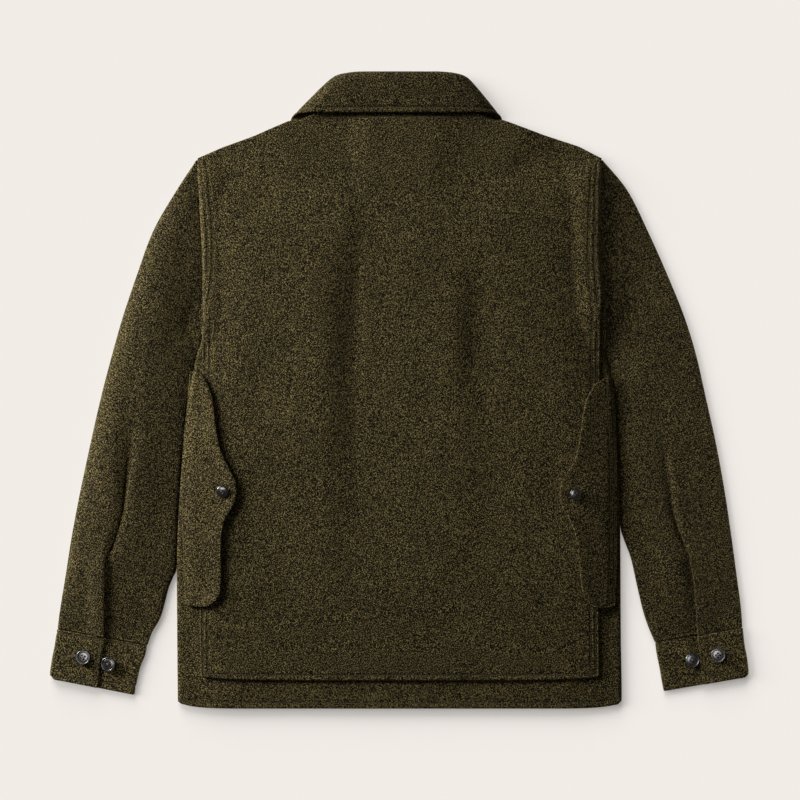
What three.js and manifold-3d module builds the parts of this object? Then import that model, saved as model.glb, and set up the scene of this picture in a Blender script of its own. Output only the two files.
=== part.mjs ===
// A mackinaw jacket in thick fulled wool, laid face down on a flat surface with its sleeves beside it.
// Millimetres. The back faces +Z, the collar points to +Y, and the surface it lies on is z = 0.
import * as THREE from 'three';
import { mergeVertices } from 'three/addons/utils/BufferGeometryUtils.js';
import Module from 'manifold-3d';

// Driving dimensions
const cloth = 2.6; // wall of the wool
const seamGap = 0.3; // left between two pieces at a seam
const layer = cloth + seamGap; // one layer of cloth on another
const sideGap = 0.8; // between a sleeve and the side of the body
const middle = new THREE.Vector2(0.3, -1.7); // middle of the whole outline, which becomes the origin

const hemY = -383.5; // hem at the side seams
const hemDip = 5.7; // how much lower the hem is in the middle
const shoulderY = 281; // outer end of the shoulder seams
const bodyTop = { left: -245.6, right: 247.1 }; // outer ends of the shoulder seams, across

const overlapReach = 22; // how far each front passes the centre line
const placketRamp = { from: 36, to: 84 }; // where the fronts come down beside the front buttons
const placketFoot = { from: -335, to: -245 }; // where they come down towards the hem
const overlapRamp = { from: 36, to: 66 }; // where the upper front comes down beside the lower one
const ridgeTop = 36; // half width of the ridge down the middle of the back
const ridgeFoot = { left: 64, right: 80 }; // where that ridge ends, in the two long troughs
const loft = { height: 1.9, from: 45, to: 110, rise: 66, fade: 225, gone: 290 }; // air inside the body
const spareAir = 0.4; // the least air inside the body away from its edges
const leafRamp = 45; // where the fronts come down beside the collar's leaves

const collarRight = { roll: 1.035, edge: 0.953 }; // the right side of the collar against its left side
const panelClimb = { start: 0.5, end: 9, least: 4 }; // where a flap climbs on to the back pocket panel
const flapProud = { height: 1.2, width: 26, narrow: 12, wide: 40 }; // how a flap's free edge stands up

const frontButton = { radius: 10, height: 2.6, count: 5, topY: 252, pitch: 110 };
const cuffButton = { radius: 9, height: 3.1 };
const flapButton = { radius: 7.5, height: 2.8 };

const woolColour = 0x453d24;
const buttonColour = 0x16110e;

// A table is written as rows under named columns.
const table = (names, rows) => rows.map((row) => {
  const keys = names.split(' ');
  return Object.fromEntries(keys.map((key, i) => [key, row[i]]));
});

// Side and armhole edges of the body, from shoulder to hem
const bodyEdge = table('y left right', [
  [281, -245.6, 246.9],
  [269, -245.8, 245.8],
  [235, -243.3, 244.8],
  [201, -241.6, 244.0],
  [167, -239.9, 244.3],
  [141, -238.9, 246.3],
  [99, -238.9, 251.0],
  [64, -239.9, 254.6],
  [44, -245.7, 251.4],
  [22, -250.5, 256.2],
  [-11, -255.6, 263.0],
  [-38, -258.9, 264.2],
  [-67, -262.0, 265.4],
  [-95, -264.9, 267.2],
  [-160, -269.0, 269.3],
  [-216, -270.8, 269.6],
  [-294, -270.4, 270.0],
  [-371, -269.7, 271.1],
  [-384, -266.6, 269.6],
]);

// Side edges of the panel on the back, which reach the armhole seams above the flaps
const panelEdge = table('y left right', [
  [281, -245.4, 246.7],
  [235, -243.1, 244.6],
  [167, -239.7, 244.1],
  [130, -238.7, 246.4],
  [96, -238.7, 245.0],
  [60, -239.2, 244.6],
  [17, -239.4, 244.4],
  [-263, -242.2, 242.8],
  [-352, -241.6, 244.0],
]);

// Top edge of the back: shoulder seams, then the neck seam under the collar
const backTop = table('x y', [
  [-245.6, 281],
  [-215.9, 294],
  [-175.7, 308.5],
  [-134.0, 326.4],
  [-121.0, 327.6],
  [-92.0, 337.0],
  [-64.0, 337.3],
  [0.0, 337.5],
  [64.0, 337.3],
  [88.0, 337.0],
  [115.3, 327.6],
  [127.6, 327.2],
  [175.6, 309.6],
  [219.1, 295.4],
  [247.1, 281],
]);

// The same edge of the fronts, with the neckline cut lower
const frontTop = table('x y', [
  [-245.6, 281],
  [-215.9, 294],
  [-175.7, 308.5],
  [-134.0, 326.4],
  [-121.0, 327.6],
  [-92.0, 337.0],
  [-64.0, 301.0],
  [-32.0, 287.0],
  [0.0, 282.0],
  [32.0, 287.0],
  [64.0, 301.0],
  [88.0, 337.0],
  [115.3, 327.6],
  [127.6, 327.2],
  [175.6, 309.6],
  [219.1, 295.4],
  [247.1, 281],
]);

// Columns across the body, as shares of its width, and rows along its side
const columns = [
  0, 0.055, 0.12, 0.18, 0.2266, 0.253, 0.3117, 0.3686, 0.4335, 0.4985,
  0.5635, 0.6284, 0.677, 0.7324, 0.7574, 0.82, 0.88, 0.945, 1,
];
const middleColumn = 9;
const rows = [
  -383.5, -352, -325, -290, -250, -205, -160, -115, -75, -38,
  -8, 22, 44, 64, 95, 130, 165, 200, 232, 258, 281,
];

// Soft troughs in the back
const backFolds = table('x y toX toY width depth', [
  [-61, 196, -67, 10, 20, 1.5],
  [78, 125, 88, -70, 20, 1.4],
  [150, -40, 196, -150, 22, 1.3],
  [-150, -170, -120, -300, 26, 1.1],
  [-205, 190, -150, 232, 20, 0.9],
]);

// Sections of the sleeves from armhole to cuff; loft is the air inside
const sleeveLeft = table('outerX outerY innerX innerY loft', [
  [-245.9, 280.4, -240.2, 65.5, 0.0],
  [-270.5, 243.0, -246.2, 44.0, 1.0],
  [-300.1, 191.5, -251.2, 22.0, 2.2],
  [-318.8, 141.0, -255.8, -10.0, 2.8],
  [-337.5, 85.5, -259.8, -40.0, 3.0],
  [-349.9, 42.0, -262.9, -68.0, 3.0],
  [-363.8, -11.0, -265.8, -97.0, 3.0],
  [-377.8, -72.6, -268.4, -135.0, 3.0],
  [-390.4, -131.8, -270.6, -172.0, 2.8],
  [-399.7, -181.5, -272.1, -215.7, 2.4],
  [-407.5, -231.3, -281.3, -243.8, 1.6],
  [-412.6, -262.0, -290.7, -277.9, 0.9],
  [-415.2, -280.0, -301.5, -297.4, 0.4],
  [-416.6, -291.9, -307.0, -312.2, 0.0],
]);
const sleeveRight = table('outerX outerY innerX innerY loft', [
  [247.3, 280.4, 255.4, 61.8, 0.0],
  [278.0, 243.0, 252.0, 44.0, 1.0],
  [303.9, 191.5, 257.0, 22.0, 2.2],
  [326.5, 141.0, 263.2, -8.0, 2.8],
  [349.0, 85.5, 264.8, -36.0, 3.0],
  [362.3, 42.0, 266.0, -62.0, 3.0],
  [374.5, -11.0, 267.4, -88.0, 3.0],
  [388.1, -72.6, 269.0, -125.0, 3.0],
  [398.6, -131.8, 271.9, -172.0, 2.8],
  [405.9, -181.5, 282.9, -206.4, 2.4],
  [412.6, -231.3, 290.6, -240.6, 1.6],
  [416.8, -262.3, 298.6, -273.7, 0.9],
  [418.3, -279.0, 306.0, -294.5, 0.4],
  [418.9, -290.3, 312.3, -308.3, 0.0],
]);
const sleeveShares = [0, 0.12, 0.26, 0.4, 0.52, 0.6, 0.68, 0.76, 0.88, 1]; // across, inner to outer
const sleeveBow = 3; // sections over which a sleeve loses the curve of the armhole
const foldShare = 0.28; // share of a sleeve's width that its air takes to rise from a fold

// Creases of the sleeves, which run down into the vents
const sleeveFolds = {
  left: table('x y toX toY width depth', [
    [-334, -40, -333, -125, 13, 1.9],
    [-333, -125, -357, -205, 13, 2.1],
    [-262, 210, -275, 120, 14, 1.6],
    [-345, 60, -310, -20, 16, 1.0],
  ]),
  right: table('x y toX toY width depth', [
    [327, -60, 329, -110, 13, 1.9],
    [329, -110, 355, -202, 13, 2.1],
    [268, 190, 282, 95, 15, 1.8],
    [340, 60, 318, -10, 16, 1.0],
  ]),
};

// Vents: slits in the upper layer of the sleeves, up from the cuffs
const vent = { width: 0.8, floor: 2.75, top: 20 };
const vents = {
  left: table('x y', [[-357.4, -201.3], [-358.4, -250], [-358.9, -320]]),
  right: table('x y', [[354.9, -201.3], [360.6, -232], [362.8, -320]]),
};

// Cuffs, top seam to lower edge; lap is where the overlap ends, measured from the outer fold
const cuffLeft = table('outerX outerY innerX innerY lap', [
  [-417.0, -292.6, -307.2, -312.9, 59.8],
  [-419.9, -312.2, -309.6, -324.0, 58.8],
  [-423.6, -331.0, -315.8, -340.0, 60.0],
  [-425.7, -347.6, -320.2, -359.0, 59.5],
  [-419.6, -354.0, -323.0, -373.2, 52.2],
]);
const cuffRight = table('outerX outerY innerX innerY lap', [
  [419.2, -291.0, 312.6, -309.0, 57.0],
  [421.4, -311.5, 314.0, -320.6, 56.2],
  [424.8, -330.0, 317.6, -338.4, 58.0],
  [426.3, -345.8, 320.6, -356.0, 57.4],
  [421.6, -351.4, 323.0, -368.6, 50.6],
]);
const underlapTail = 24; // how far the underlap runs on below the overlap

// Flaps from top to bottom: the free edge and the edge sewn at the side
const flapLeft = table('freeX freeY sewnX sewnY', [
  [-249.6, 22.0, -255.0, 20.4],
  [-242.8, 20.1, -255.4, 15.0],
  [-235.7, 12.4, -256.2, 7.0],
  [-230.1, 1.2, -257.0, -5.0],
  [-225.9, -12.9, -258.0, -18.0],
  [-223.0, -32.7, -259.6, -35.0],
  [-220.2, -53.7, -261.8, -55.0],
  [-216.1, -73.4, -263.0, -74.0],
  [-209.0, -88.9, -264.0, -89.0],
  [-204.1, -98.8, -264.6, -99.0],
  [-198.1, -111.0, -264.6, -111.0],
  [-196.2, -123.2, -264.6, -123.0],
  [-197.6, -134.2, -264.4, -134.0],
  [-205.0, -148.8, -264.1, -148.0],
  [-211.1, -161.0, -264.0, -161.0],
  [-214.7, -180.6, -263.3, -180.0],
  [-215.2, -208.6, -262.3, -208.0],
  [-215.3, -239.1, -261.3, -236.0],
  [-217.2, -250.1, -261.0, -246.0],
  [-224.5, -258.6, -260.8, -253.0],
  [-234.2, -263.5, -260.6, -258.5],
  [-247.0, -264.0, -260.5, -262.2],
]);
const flapRight = table('freeX freeY sewnX sewnY', [
  [251.3, 13.6, 259.8, 12.4],
  [240.2, 7.3, 260.8, 4.0],
  [232.7, -2.0, 261.8, -4.0],
  [226.2, -15.9, 262.8, -17.0],
  [222.4, -34.6, 263.6, -35.0],
  [220.6, -48.7, 264.2, -49.0],
  [216.8, -72.0, 265.0, -72.0],
  [212.2, -87.8, 265.4, -88.0],
  [204.7, -100.0, 265.4, -100.0],
  [199.1, -108.3, 265.4, -108.0],
  [196.4, -113.9, 265.4, -114.0],
  [194.8, -129.2, 265.4, -129.0],
  [197.6, -143.2, 265.4, -143.0],
  [205.9, -157.1, 265.4, -157.0],
  [212.9, -174.5, 265.4, -174.0],
  [216.4, -192.3, 265.4, -192.0],
  [218.7, -215.6, 265.2, -215.0],
  [222.2, -244.7, 264.0, -240.0],
  [225.7, -255.0, 263.6, -249.0],
  [233.0, -262.3, 263.3, -255.0],
  [239.1, -265.4, 263.1, -259.0],
  [249.0, -266.4, 262.9, -263.0],
]);
const flapShares = [0, 0.2, 0.4, 0.6, 0.8, 1]; // across, sewn edge to free edge

// The left half of the collar from centre back to centre front. Turn is 0 on the back, where it faces
// up, and 180 on the fronts, where it faces down. It has three lines: neck seam, roll and free edge.
const collarStations = table('turn rollX rollY rollZ seamX seamY seamZ edgeX edgeY edgeZ', [
  [0, 0, 383.1, 9.4, 0, 338.1, 10.4, 0, 336.9, 16.4],
  [0, -24, 383.1, 9.4, -32, 338.0, 10.4, -36, 336.9, 16.4],
  [0, -46, 383.1, 9.1, -61, 337.9, 8.0, -71, 336.8, 14.6],
  [0, -60, 382.4, 8.6, -79, 337.8, 7.4, -106, 336.9, 13.3],
  [30, -71, 379.8, 7.9, -89, 338.4, 6.9, -120, 335.8, 10.2],
  [75, -79, 375.6, 6.6, -93, 338.0, 5.8, -127.6, 332.8, 6.4],
  [130, -86.5, 366.5, 4.6, -90.4, 337.4, 4.8, -131.8, 327.8, 1.5],
  [180, -82, 356.0, 2.75, -84.6, 328.2, 4.2, -129.6, 318.6, 1.3],
  [180, -62, 338.0, 2.75, -64.0, 302.6, 4.2, -117.4, 294.4, 1.3],
  [180, -32, 313.0, 2.75, -31.8, 288.0, 4.2, -98, 262.0, 1.3],
  [180, -5, 289.0, 2.75, -5, 283.4, 4.2, -72, 228.0, 1.3],
]);
const leafCorner = { x: -84, y: 206 }; // just beyond the point of a collar leaf
const leafSide = { x: -156, y: 330 };
const leafFront = { x: 0, y: 270 };

// Buttons that show, with the node each is named after
const cuffButtons = table('name x y seat', [
  ['button_cuff_left_fastened', -384.4, -326.4, 'overlap'],
  ['button_cuff_left_spare', -354.0, -335.1, 'underlap'],
  ['button_cuff_right_fastened', 388.1, -323.9, 'overlap'],
  ['button_cuff_right_spare', 357.2, -330.1, 'underlap'],
]);
const flapButtons = table('name x y', [
  ['button_flap_left', -214.0, -124.0],
  ['button_flap_right', 213.5, -127.4],
]);

const { lerp, clamp, degToRad } = THREE.MathUtils;
const smooth = (from, to, value) => THREE.MathUtils.smoothstep(value, from, to);

// Value of one column at a place in another, between the rows of a table
function read(list, key, column, value) {
  const rising = list[0][key] < list[list.length - 1][key];
  const found = list.findIndex((row) => (rising ? row[key] >= value : row[key] <= value));
  const next = clamp(found < 0 ? list.length - 1 : found, 1, list.length - 1);
  const a = list[next - 1];
  const b = list[next];
  return lerp(a[column], b[column], clamp((value - a[key]) / (b[key] - a[key]), 0, 1));
}

// Height taken away by a list of soft troughs
function troughs(folds, x, y) {
  let depth = 0;
  for (const fold of folds) {
    const run = new THREE.Vector2(fold.toX - fold.x, fold.toY - fold.y);
    const from = new THREE.Vector2(x - fold.x, y - fold.y);
    const along = clamp(from.dot(run) / run.lengthSq(), 0, 1);
    const away = from.addScaledVector(run, -along).length() / fold.width;
    depth += fold.depth * Math.exp(-away * away);
  }
  return depth;
}

// Distance from the area over a collar leaf, which is a corner between two straight lines
function outsideLeaf(x, y) {
  const beyond = (from, to) => {
    const run = new THREE.Vector2(to.x - from.x, to.y - from.y).normalize();
    return (-Math.abs(x) - from.x) * run.y - (y - from.y) * run.x;
  };
  return Math.max(beyond(leafSide, leafCorner), beyond(leafCorner, leafFront));
}

// Underside of the fronts, which lie on the ground but for the front buttons and the collar's leaves
function frontLift(x, y) {
  const placket = (1 - smooth(placketRamp.from, placketRamp.to, Math.abs(x)))
    * smooth(placketFoot.from, placketFoot.to, y);
  const leaf = 1 - smooth(0, leafRamp, outsideLeaf(x, y));
  return layer * Math.max(placket, leaf);
}

// The right front lies on the left front as far as the overlap goes
function rightFrontLift(x, y) {
  return frontLift(x, y) + layer * (1 - smooth(overlapRamp.from, overlapRamp.to, x));
}

// Underside of the back, over both fronts and their overlap, with its troughs
function backLift(x, y) {
  const foot = x < 0 ? ridgeFoot.left : ridgeFoot.right;
  const ridge = 1 - smooth(ridgeTop, foot, Math.abs(x));
  const inset = Math.min(x - read(bodyEdge, 'y', 'left', y), read(bodyEdge, 'y', 'right', y) - x);
  const shoulder = 1 - smooth(loft.fade, loft.gone, y);
  const open = smooth(loft.from, loft.to, inset) * smooth(foot, foot + loft.rise, Math.abs(x)) * shoulder;
  const air = Math.max(0, loft.height * open - troughs(backFolds, x, y) * open);
  return frontLift(x, y) + layer + layer * ridge + air + spareAir * smooth(loft.from, loft.to, inset);
}

const panelLift = (x, y) => backLift(x, y) + layer;

// Underside of a flap, from the back itself up on to the panel, with the free edge standing proud
function flapLift(x, y, share, reach) {
  const side = x < 0 ? 'left' : 'right';
  const sewn = Math.abs(read(bodyEdge, 'y', side, y)) - panelClimb.start;
  const edge = Math.abs(read(panelEdge, 'y', side, y)) + panelClimb.end;
  const climb = smooth(-sewn, -Math.min(edge, sewn - panelClimb.least), -Math.abs(x));
  const near = 1 - smooth(0, flapProud.width, (1 - share) * reach);
  const proud = flapProud.height * near * smooth(flapProud.narrow, flapProud.wide, reach);
  return backLift(x, y) + layer + layer * climb + proud;
}

const point = (x, y, z) => new THREE.Vector3(x, y, z);

// A closed wall between an outer and an inner grid of points; a ring joins its last column to its first
function wall(outer, inner, ring = false) {
  const height = outer.length;
  const width = outer[0].length;
  const at = (side, i, j) => (side * height + i) * width + (j % width);
  const index = [];
  const quad = (a, b, c, d) => index.push(a, b, c, a, c, d);
  const spans = ring ? width : width - 1;
  for (let i = 0; i < height - 1; i += 1) {
    for (let j = 0; j < spans; j += 1) {
      quad(at(0, i, j), at(0, i, j + 1), at(0, i + 1, j + 1), at(0, i + 1, j));
      quad(at(1, i, j), at(1, i + 1, j), at(1, i + 1, j + 1), at(1, i, j + 1));
    }
    if (!ring) {
      quad(at(0, i, 0), at(0, i + 1, 0), at(1, i + 1, 0), at(1, i, 0));
      quad(at(0, i + 1, width - 1), at(0, i, width - 1), at(1, i, width - 1), at(1, i + 1, width - 1));
    }
  }
  for (let j = 0; j < spans; j += 1) {
    quad(at(0, 0, j + 1), at(0, 0, j), at(1, 0, j), at(1, 0, j + 1));
    quad(at(0, height - 1, j), at(0, height - 1, j + 1), at(1, height - 1, j + 1), at(1, height - 1, j));
  }
  const places = [...outer, ...inner].flat();
  return facingOut(new THREE.BufferGeometry().setFromPoints(places).setIndex(index));
}

// Turns a closed geometry the right way out
function facingOut(geometry) {
  const place = geometry.attributes.position;
  const index = geometry.index.array;
  const corner = [new THREE.Vector3(), new THREE.Vector3(), new THREE.Vector3()];
  let volume = 0;
  for (let i = 0; i < index.length; i += 3) {
    corner.forEach((vertex, k) => vertex.fromBufferAttribute(place, index[i + k]));
    volume += corner[0].dot(corner[1].cross(corner[2]));
  }
  if (volume < 0) {
    geometry.setIndex([...index].reverse());
  }
  return geometry;
}

// A flat-lying panel: a grid of places in plan, with a wall from its underside up
function panel(grid, under) {
  const lower = grid.map((line) => line.map(([x, y]) => point(x, y, under(x, y))));
  const upper = lower.map((line) => line.map((at) => point(at.x, at.y, at.z + cloth)));
  return wall(upper, lower);
}

// Place on the body at a row and a share across it; top is the table of its top edge
function bodyPoint(rowY, share, top) {
  const topX = lerp(bodyTop.left, bodyTop.right, share);
  const x = lerp(read(bodyEdge, 'y', 'left', rowY), read(bodyEdge, 'y', 'right', rowY), share);
  const rise = clamp((rowY + 60) / (shoulderY + 60), 0, 1) ** 2;
  const dip = clamp((rowY + 290) / (hemY + 290), 0, 1) ** 2;
  const hemShape = 1 - Math.abs(2 * share - 1) ** 6;
  const y = rowY + (read(top, 'x', 'y', topX) - shoulderY) * rise - hemDip * hemShape * dip;
  return [x, y];
}

const backBody = () => panel(rows.map((y) => columns.map((s) => bodyPoint(y, s, backTop))), backLift);

// The panel shares the rows and columns of the back inside its own edges
function backPocketPanel() {
  const inside = columns.slice(2, -2);
  const grid = rows.slice(1).map((rowY) => {
    const line = inside.map((share) => bodyPoint(rowY, share, backTop));
    const edgeY = Math.max(rowY, -350.5);
    const left = [read(panelEdge, 'y', 'left', edgeY), edgeY];
    const right = [read(panelEdge, 'y', 'right', edgeY), edgeY];
    return [left, ...line, right];
  });
  return panel(grid, panelLift);
}

// Each front has the columns of its side of the body, then its own edge past the centre line
function front(side) {
  const left = side === 'left';
  const shares = left ? columns.slice(0, middleColumn + 1) : columns.slice(middleColumn);
  const grid = rows.map((rowY) => {
    const line = shares.map((share) => bodyPoint(rowY, share, frontTop));
    const centre = bodyPoint(rowY, columns[middleColumn], frontTop);
    const edge = [(left ? 1 : -1) * overlapReach, centre[1]];
    return left ? [...line, edge] : [edge, ...line];
  });
  return panel(grid, left ? frontLift : rightFrontLift);
}

function flap(list) {
  const lower = list.map((row) => flapShares.map((share) => {
    const x = lerp(row.sewnX, row.freeX, share);
    const y = lerp(row.sewnY, row.freeY, share);
    const reach = Math.hypot(row.freeX - row.sewnX, row.freeY - row.sewnY);
    return point(x, y, flapLift(x, y, share, reach));
  }));
  const upper = lower.map((line) => line.map((at) => point(at.x, at.y, at.z + cloth)));
  return wall(upper, lower);
}

// Moves a line of cloth both ways by half its thickness; the first copy is its outer face
function bothFaces(line, ring = false) {
  const count = line.length;
  const normals = line.map((at, i) => {
    const before = ring ? line[(i + count - 1) % count] : line[Math.max(i - 1, 0)];
    const after = ring ? line[(i + 1) % count] : line[Math.min(i + 1, count - 1)];
    const one = new THREE.Vector2(at[0] - before[0], at[1] - before[1]).normalize();
    const two = new THREE.Vector2(after[0] - at[0], after[1] - at[1]).normalize();
    const atEnd = one.lengthSq() === 0 || two.lengthSq() === 0;
    const sum = one.add(two);
    const mitre = atEnd ? 1 : 2 / sum.length();
    sum.normalize().multiplyScalar(mitre);
    return [sum.y, -sum.x];
  });
  const moved = (by) => line.map((at, i) => [at[0] + normals[i][0] * by, at[1] + normals[i][1] * by]);
  return [moved(cloth / 2), moved(-cloth / 2)];
}

// Half a turn of cloth from one height to another, about a point across the section
function turn(across, fromZ, toZ, outwards) {
  const radius = Math.abs(toZ - fromZ) / 2;
  const steps = [30, 65, 90, 115, 150];
  return steps.map((angle) => {
    const swing = Math.sin(degToRad(angle)) * radius * outwards;
    return [across + swing, lerp(fromZ, toZ, (1 - Math.cos(degToRad(angle))) / 2)];
  });
}

// A sleeve is a flattened ring of cloth at each of its sections
function sleeve(side) {
  const list = side === 'left' ? sleeveLeft : sleeveRight;
  const sign = side === 'left' ? -1 : 1;
  const outer = [];
  const inner = [];
  list.forEach((row, i) => {
    const beside = Math.abs(read(bodyEdge, 'y', side, row.innerY)) + sideGap;
    const from = new THREE.Vector2(sign * Math.max(Math.abs(row.innerX), beside), row.innerY);
    const to = new THREE.Vector2(row.outerX, row.outerY);
    const width = from.distanceTo(to);
    const place = (across) => {
      const at = from.clone().lerp(to, across / width);
      const straight = lerp(list[0].innerX, list[0].outerX, across / width);
      const armholeY = lerp(list[0].innerY, list[0].outerY, across / width);
      const bow = read(bodyEdge, 'y', side, armholeY) + sign * seamGap - straight;
      at.x += bow * Math.max(0, 1 - i / sleeveBow);
      return at;
    };
    const low = cloth / 2;
    const fold = layer / 2 + cloth / 2;
    const upper = sleeveShares.map((share) => {
      const across = lerp(fold, width - fold, share);
      const at = place(across);
      const open = smooth(0, foldShare, share) * smooth(0, foldShare, 1 - share);
      const air = row.loft - troughs(sleeveFolds[side], at.x, at.y) * Math.min(1, row.loft);
      return [across, low + layer + Math.max(0, air) * open];
    });
    const lower = sleeveShares.map((share) => [lerp(width - fold, fold, share), low]);
    const ring = [
      ...upper,
      ...turn(width - fold, low + layer, low, 1),
      ...lower,
      ...turn(fold, low, low + layer, -1),
    ];
    const [out, into] = bothFaces(ring.reverse(), true);
    const lift = ([across, z]) => {
      const at = place(across);
      return point(at.x, at.y, z);
    };
    outer.push(out.map(lift));
    inner.push(into.map(lift));
  });
  const tube = wall(outer, inner, true);
  return cut(tube, ventCutter(vents[side]));
}

// A thin blade along the vent, standing clear of the sleeve's lower layer
function ventCutter(line) {
  const blade = (offset) => line.map((at) => [
    point(at.x + offset, at.y, vent.floor),
    point(at.x + offset, at.y, vent.top),
  ]);
  return wall(blade(vent.width / 2), blade(-vent.width / 2));
}

// A cuff is a band wound round the wrist: overlap on top, outer fold, underside, inner fold, underlap
function cuff(list) {
  const low = cloth / 2;
  const outer = [];
  const inner = [];
  for (const row of list) {
    const from = new THREE.Vector2(row.outerX, row.outerY);
    const to = new THREE.Vector2(row.innerX, row.innerY);
    const width = from.distanceTo(to);
    const deep = layer + cloth / 2;
    const tight = layer / 2 + cloth / 2;
    const level = (z, ends) => ends.map((across) => [across, z]);
    const line = [
      ...level(low + 2 * layer, [row.lap, lerp(row.lap, deep, 0.35), lerp(row.lap, deep, 0.7), deep]),
      ...turn(deep, low + 2 * layer, low, -1),
      ...level(low, [deep, lerp(deep, width, 0.35), lerp(deep, width, 0.65), width - tight]),
      ...turn(width - tight, low, low + layer, 1),
      ...level(low + layer, [width - tight, lerp(width, row.lap, 0.5), row.lap, row.lap - underlapTail]),
    ];
    const [out, into] = bothFaces(line);
    const lift = ([across, z]) => {
      const at = from.clone().lerp(to, across / width);
      return point(at.x, at.y, z);
    };
    outer.push(out.map(lift));
    inner.push(into.map(lift));
  }
  return wall(outer, inner);
}

// Both faces of the collar at one station: up the stand, round the roll and down the fall
function collarSection(row, sign, share) {
  const seam = point(row.seamX * sign * share.edge, row.seamY, row.seamZ);
  const roll = point(row.rollX * sign * share.roll, row.rollY, row.rollZ);
  const edge = point(row.edgeX * sign * share.edge, row.edgeY, row.edgeZ);
  const up = roll.clone().sub(seam.clone().lerp(edge, 0.5)).setZ(0).normalize();
  const side = point(-up.y * sign, up.x * sign, 0);
  const swing = degToRad(row.turn);
  const out = point(0, 0, Math.cos(swing)).addScaledVector(side, Math.sin(swing));
  const half = layer / 2;
  const near = roll.clone().addScaledVector(out, -half);
  const far = roll.clone().addScaledVector(out, half);
  const slant = (sign) => up.clone().addScaledVector(out, sign).normalize();
  const line = [
    [seam, out.clone().negate()],
    [seam.clone().lerp(near, 0.35), out.clone().negate()],
    [seam.clone().lerp(near, 0.75), out.clone().negate()],
    [near, slant(-1)],
    [roll.clone().addScaledVector(up, half), up],
    [far, slant(1)],
    [far.clone().lerp(edge, 0.25), out],
    [far.clone().lerp(edge, 0.62), out],
    [edge, out],
  ];
  const face = (sign) => line.map(([place, away]) => place.clone().addScaledVector(away, (sign * cloth) / 2));
  return [face(1), face(-1)];
}

function collar() {
  const left = collarStations.map((row) => collarSection(row, 1, { roll: 1, edge: 1 }));
  const right = collarStations.slice(1).map((row) => collarSection(row, -1, collarRight));
  const stations = [...left.reverse(), ...right];
  return wall(stations.map(([out]) => out), stations.map(([, into]) => into));
}

// Solid for cutting, from a closed geometry
const wasm = await Module();
wasm.setup();
function solid(geometry) {
  const bare = geometry.clone();
  bare.deleteAttribute('normal');
  bare.deleteAttribute('uv');
  const merged = mergeVertices(bare, 1e-4);
  return new wasm.Manifold(new wasm.Mesh({
    numProp: 3,
    vertProperties: new Float32Array(merged.attributes.position.array),
    triVerts: new Uint32Array(merged.index.array),
  }));
}

function cut(body, ...cutters) {
  const result = cutters.reduce((whole, cutter) => whole.subtract(solid(cutter)), solid(body)).getMesh();
  const geometry = new THREE.BufferGeometry();
  geometry.setAttribute('position', new THREE.BufferAttribute(new Float32Array(result.vertProperties), 3));
  return geometry.setIndex([...result.triVerts]);
}

// A button with a raised rim, a sunk middle and four holes, its back at z = 0
function button({ radius, height }) {
  const profile = [
    [0, 0],
    [radius * 0.86, 0],
    [radius, height * 0.5],
    [radius * 0.92, height],
    [radius * 0.72, height],
    [radius * 0.56, height * 0.66],
    [0, height * 0.66],
  ].map(([x, y]) => new THREE.Vector2(x, y));
  const disc = new THREE.LatheGeometry(profile, 16).rotateX(Math.PI / 2);
  const holes = [45, 135, 225, 315].map((angle) => {
    const reach = radius * 0.25;
    const bore = radius * 0.11;
    const hole = new THREE.CylinderGeometry(bore, bore, height * 4, 5).rotateX(Math.PI / 2);
    return hole.translate(Math.cos(degToRad(angle)) * reach, Math.sin(degToRad(angle)) * reach, 0);
  });
  return cut(facingOut(disc), ...holes);
}

// Lowest height at which a button clears what is under it
function seatOn(surface, x, y, radius) {
  const rim = [0, 45, 90, 135, 180, 225, 270, 315].map((angle) => degToRad(angle));
  const heights = rim.map((angle) => surface(x + Math.cos(angle) * radius, y + Math.sin(angle) * radius));
  return Math.max(surface(x, y), ...heights) + cloth + seamGap;
}

const wool = () => new THREE.MeshStandardMaterial({ color: woolColour, roughness: 0.95, metalness: 0 });
const horn = () => new THREE.MeshStandardMaterial({ color: buttonColour, roughness: 0.3, metalness: 0 });

const jacket = new THREE.Group();
jacket.position.set(-middle.x, -middle.y, 0);

function add(name, geometry, material, x = 0, y = 0, z = 0) {
  const mesh = new THREE.Mesh(geometry, material);
  mesh.name = name;
  mesh.position.set(x, y, z);
  jacket.add(mesh);
}

add('front_left', front('left'), wool());
add('front_right', front('right'), wool());
add('back_body', backBody(), wool());
add('back_pocket_panel', backPocketPanel(), wool());
add('collar', collar(), wool());
add('flap_left', flap(flapLeft), wool());
add('flap_right', flap(flapRight), wool());
add('sleeve_left', sleeve('left'), wool());
add('sleeve_right', sleeve('right'), wool());
add('cuff_left', cuff(cuffLeft), wool());
add('cuff_right', cuff(cuffRight), wool());

for (const { name, x, y, seat } of cuffButtons) {
  const top = layer * (seat === 'overlap' ? 3 : 2);
  add(name, button(cuffButton), horn(), x, y, top);
}
for (const { name, x, y } of flapButtons) {
  const list = x < 0 ? flapLeft : flapRight;
  const surface = (px, py) => {
    const sewnX = read(list, 'sewnY', 'sewnX', py);
    const freeX = read(list, 'freeY', 'freeX', py);
    const reach = Math.abs(freeX - sewnX);
    return flapLift(px, py, clamp((px - sewnX) / (freeX - sewnX), 0, 1), reach);
  };
  add(name, button(flapButton), horn(), x, y, seatOn(surface, x, y, flapButton.radius));
}
for (let i = 0; i < frontButton.count; i += 1) {
  add(`button_front_${i + 1}`, button(frontButton).rotateX(Math.PI), horn(), 0,
    frontButton.topY - frontButton.pitch * i, frontButton.height);
}

export default jacket;
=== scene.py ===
import math

import bmesh
import bpy
import numpy as np
from mathutils import Matrix, Vector


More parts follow.
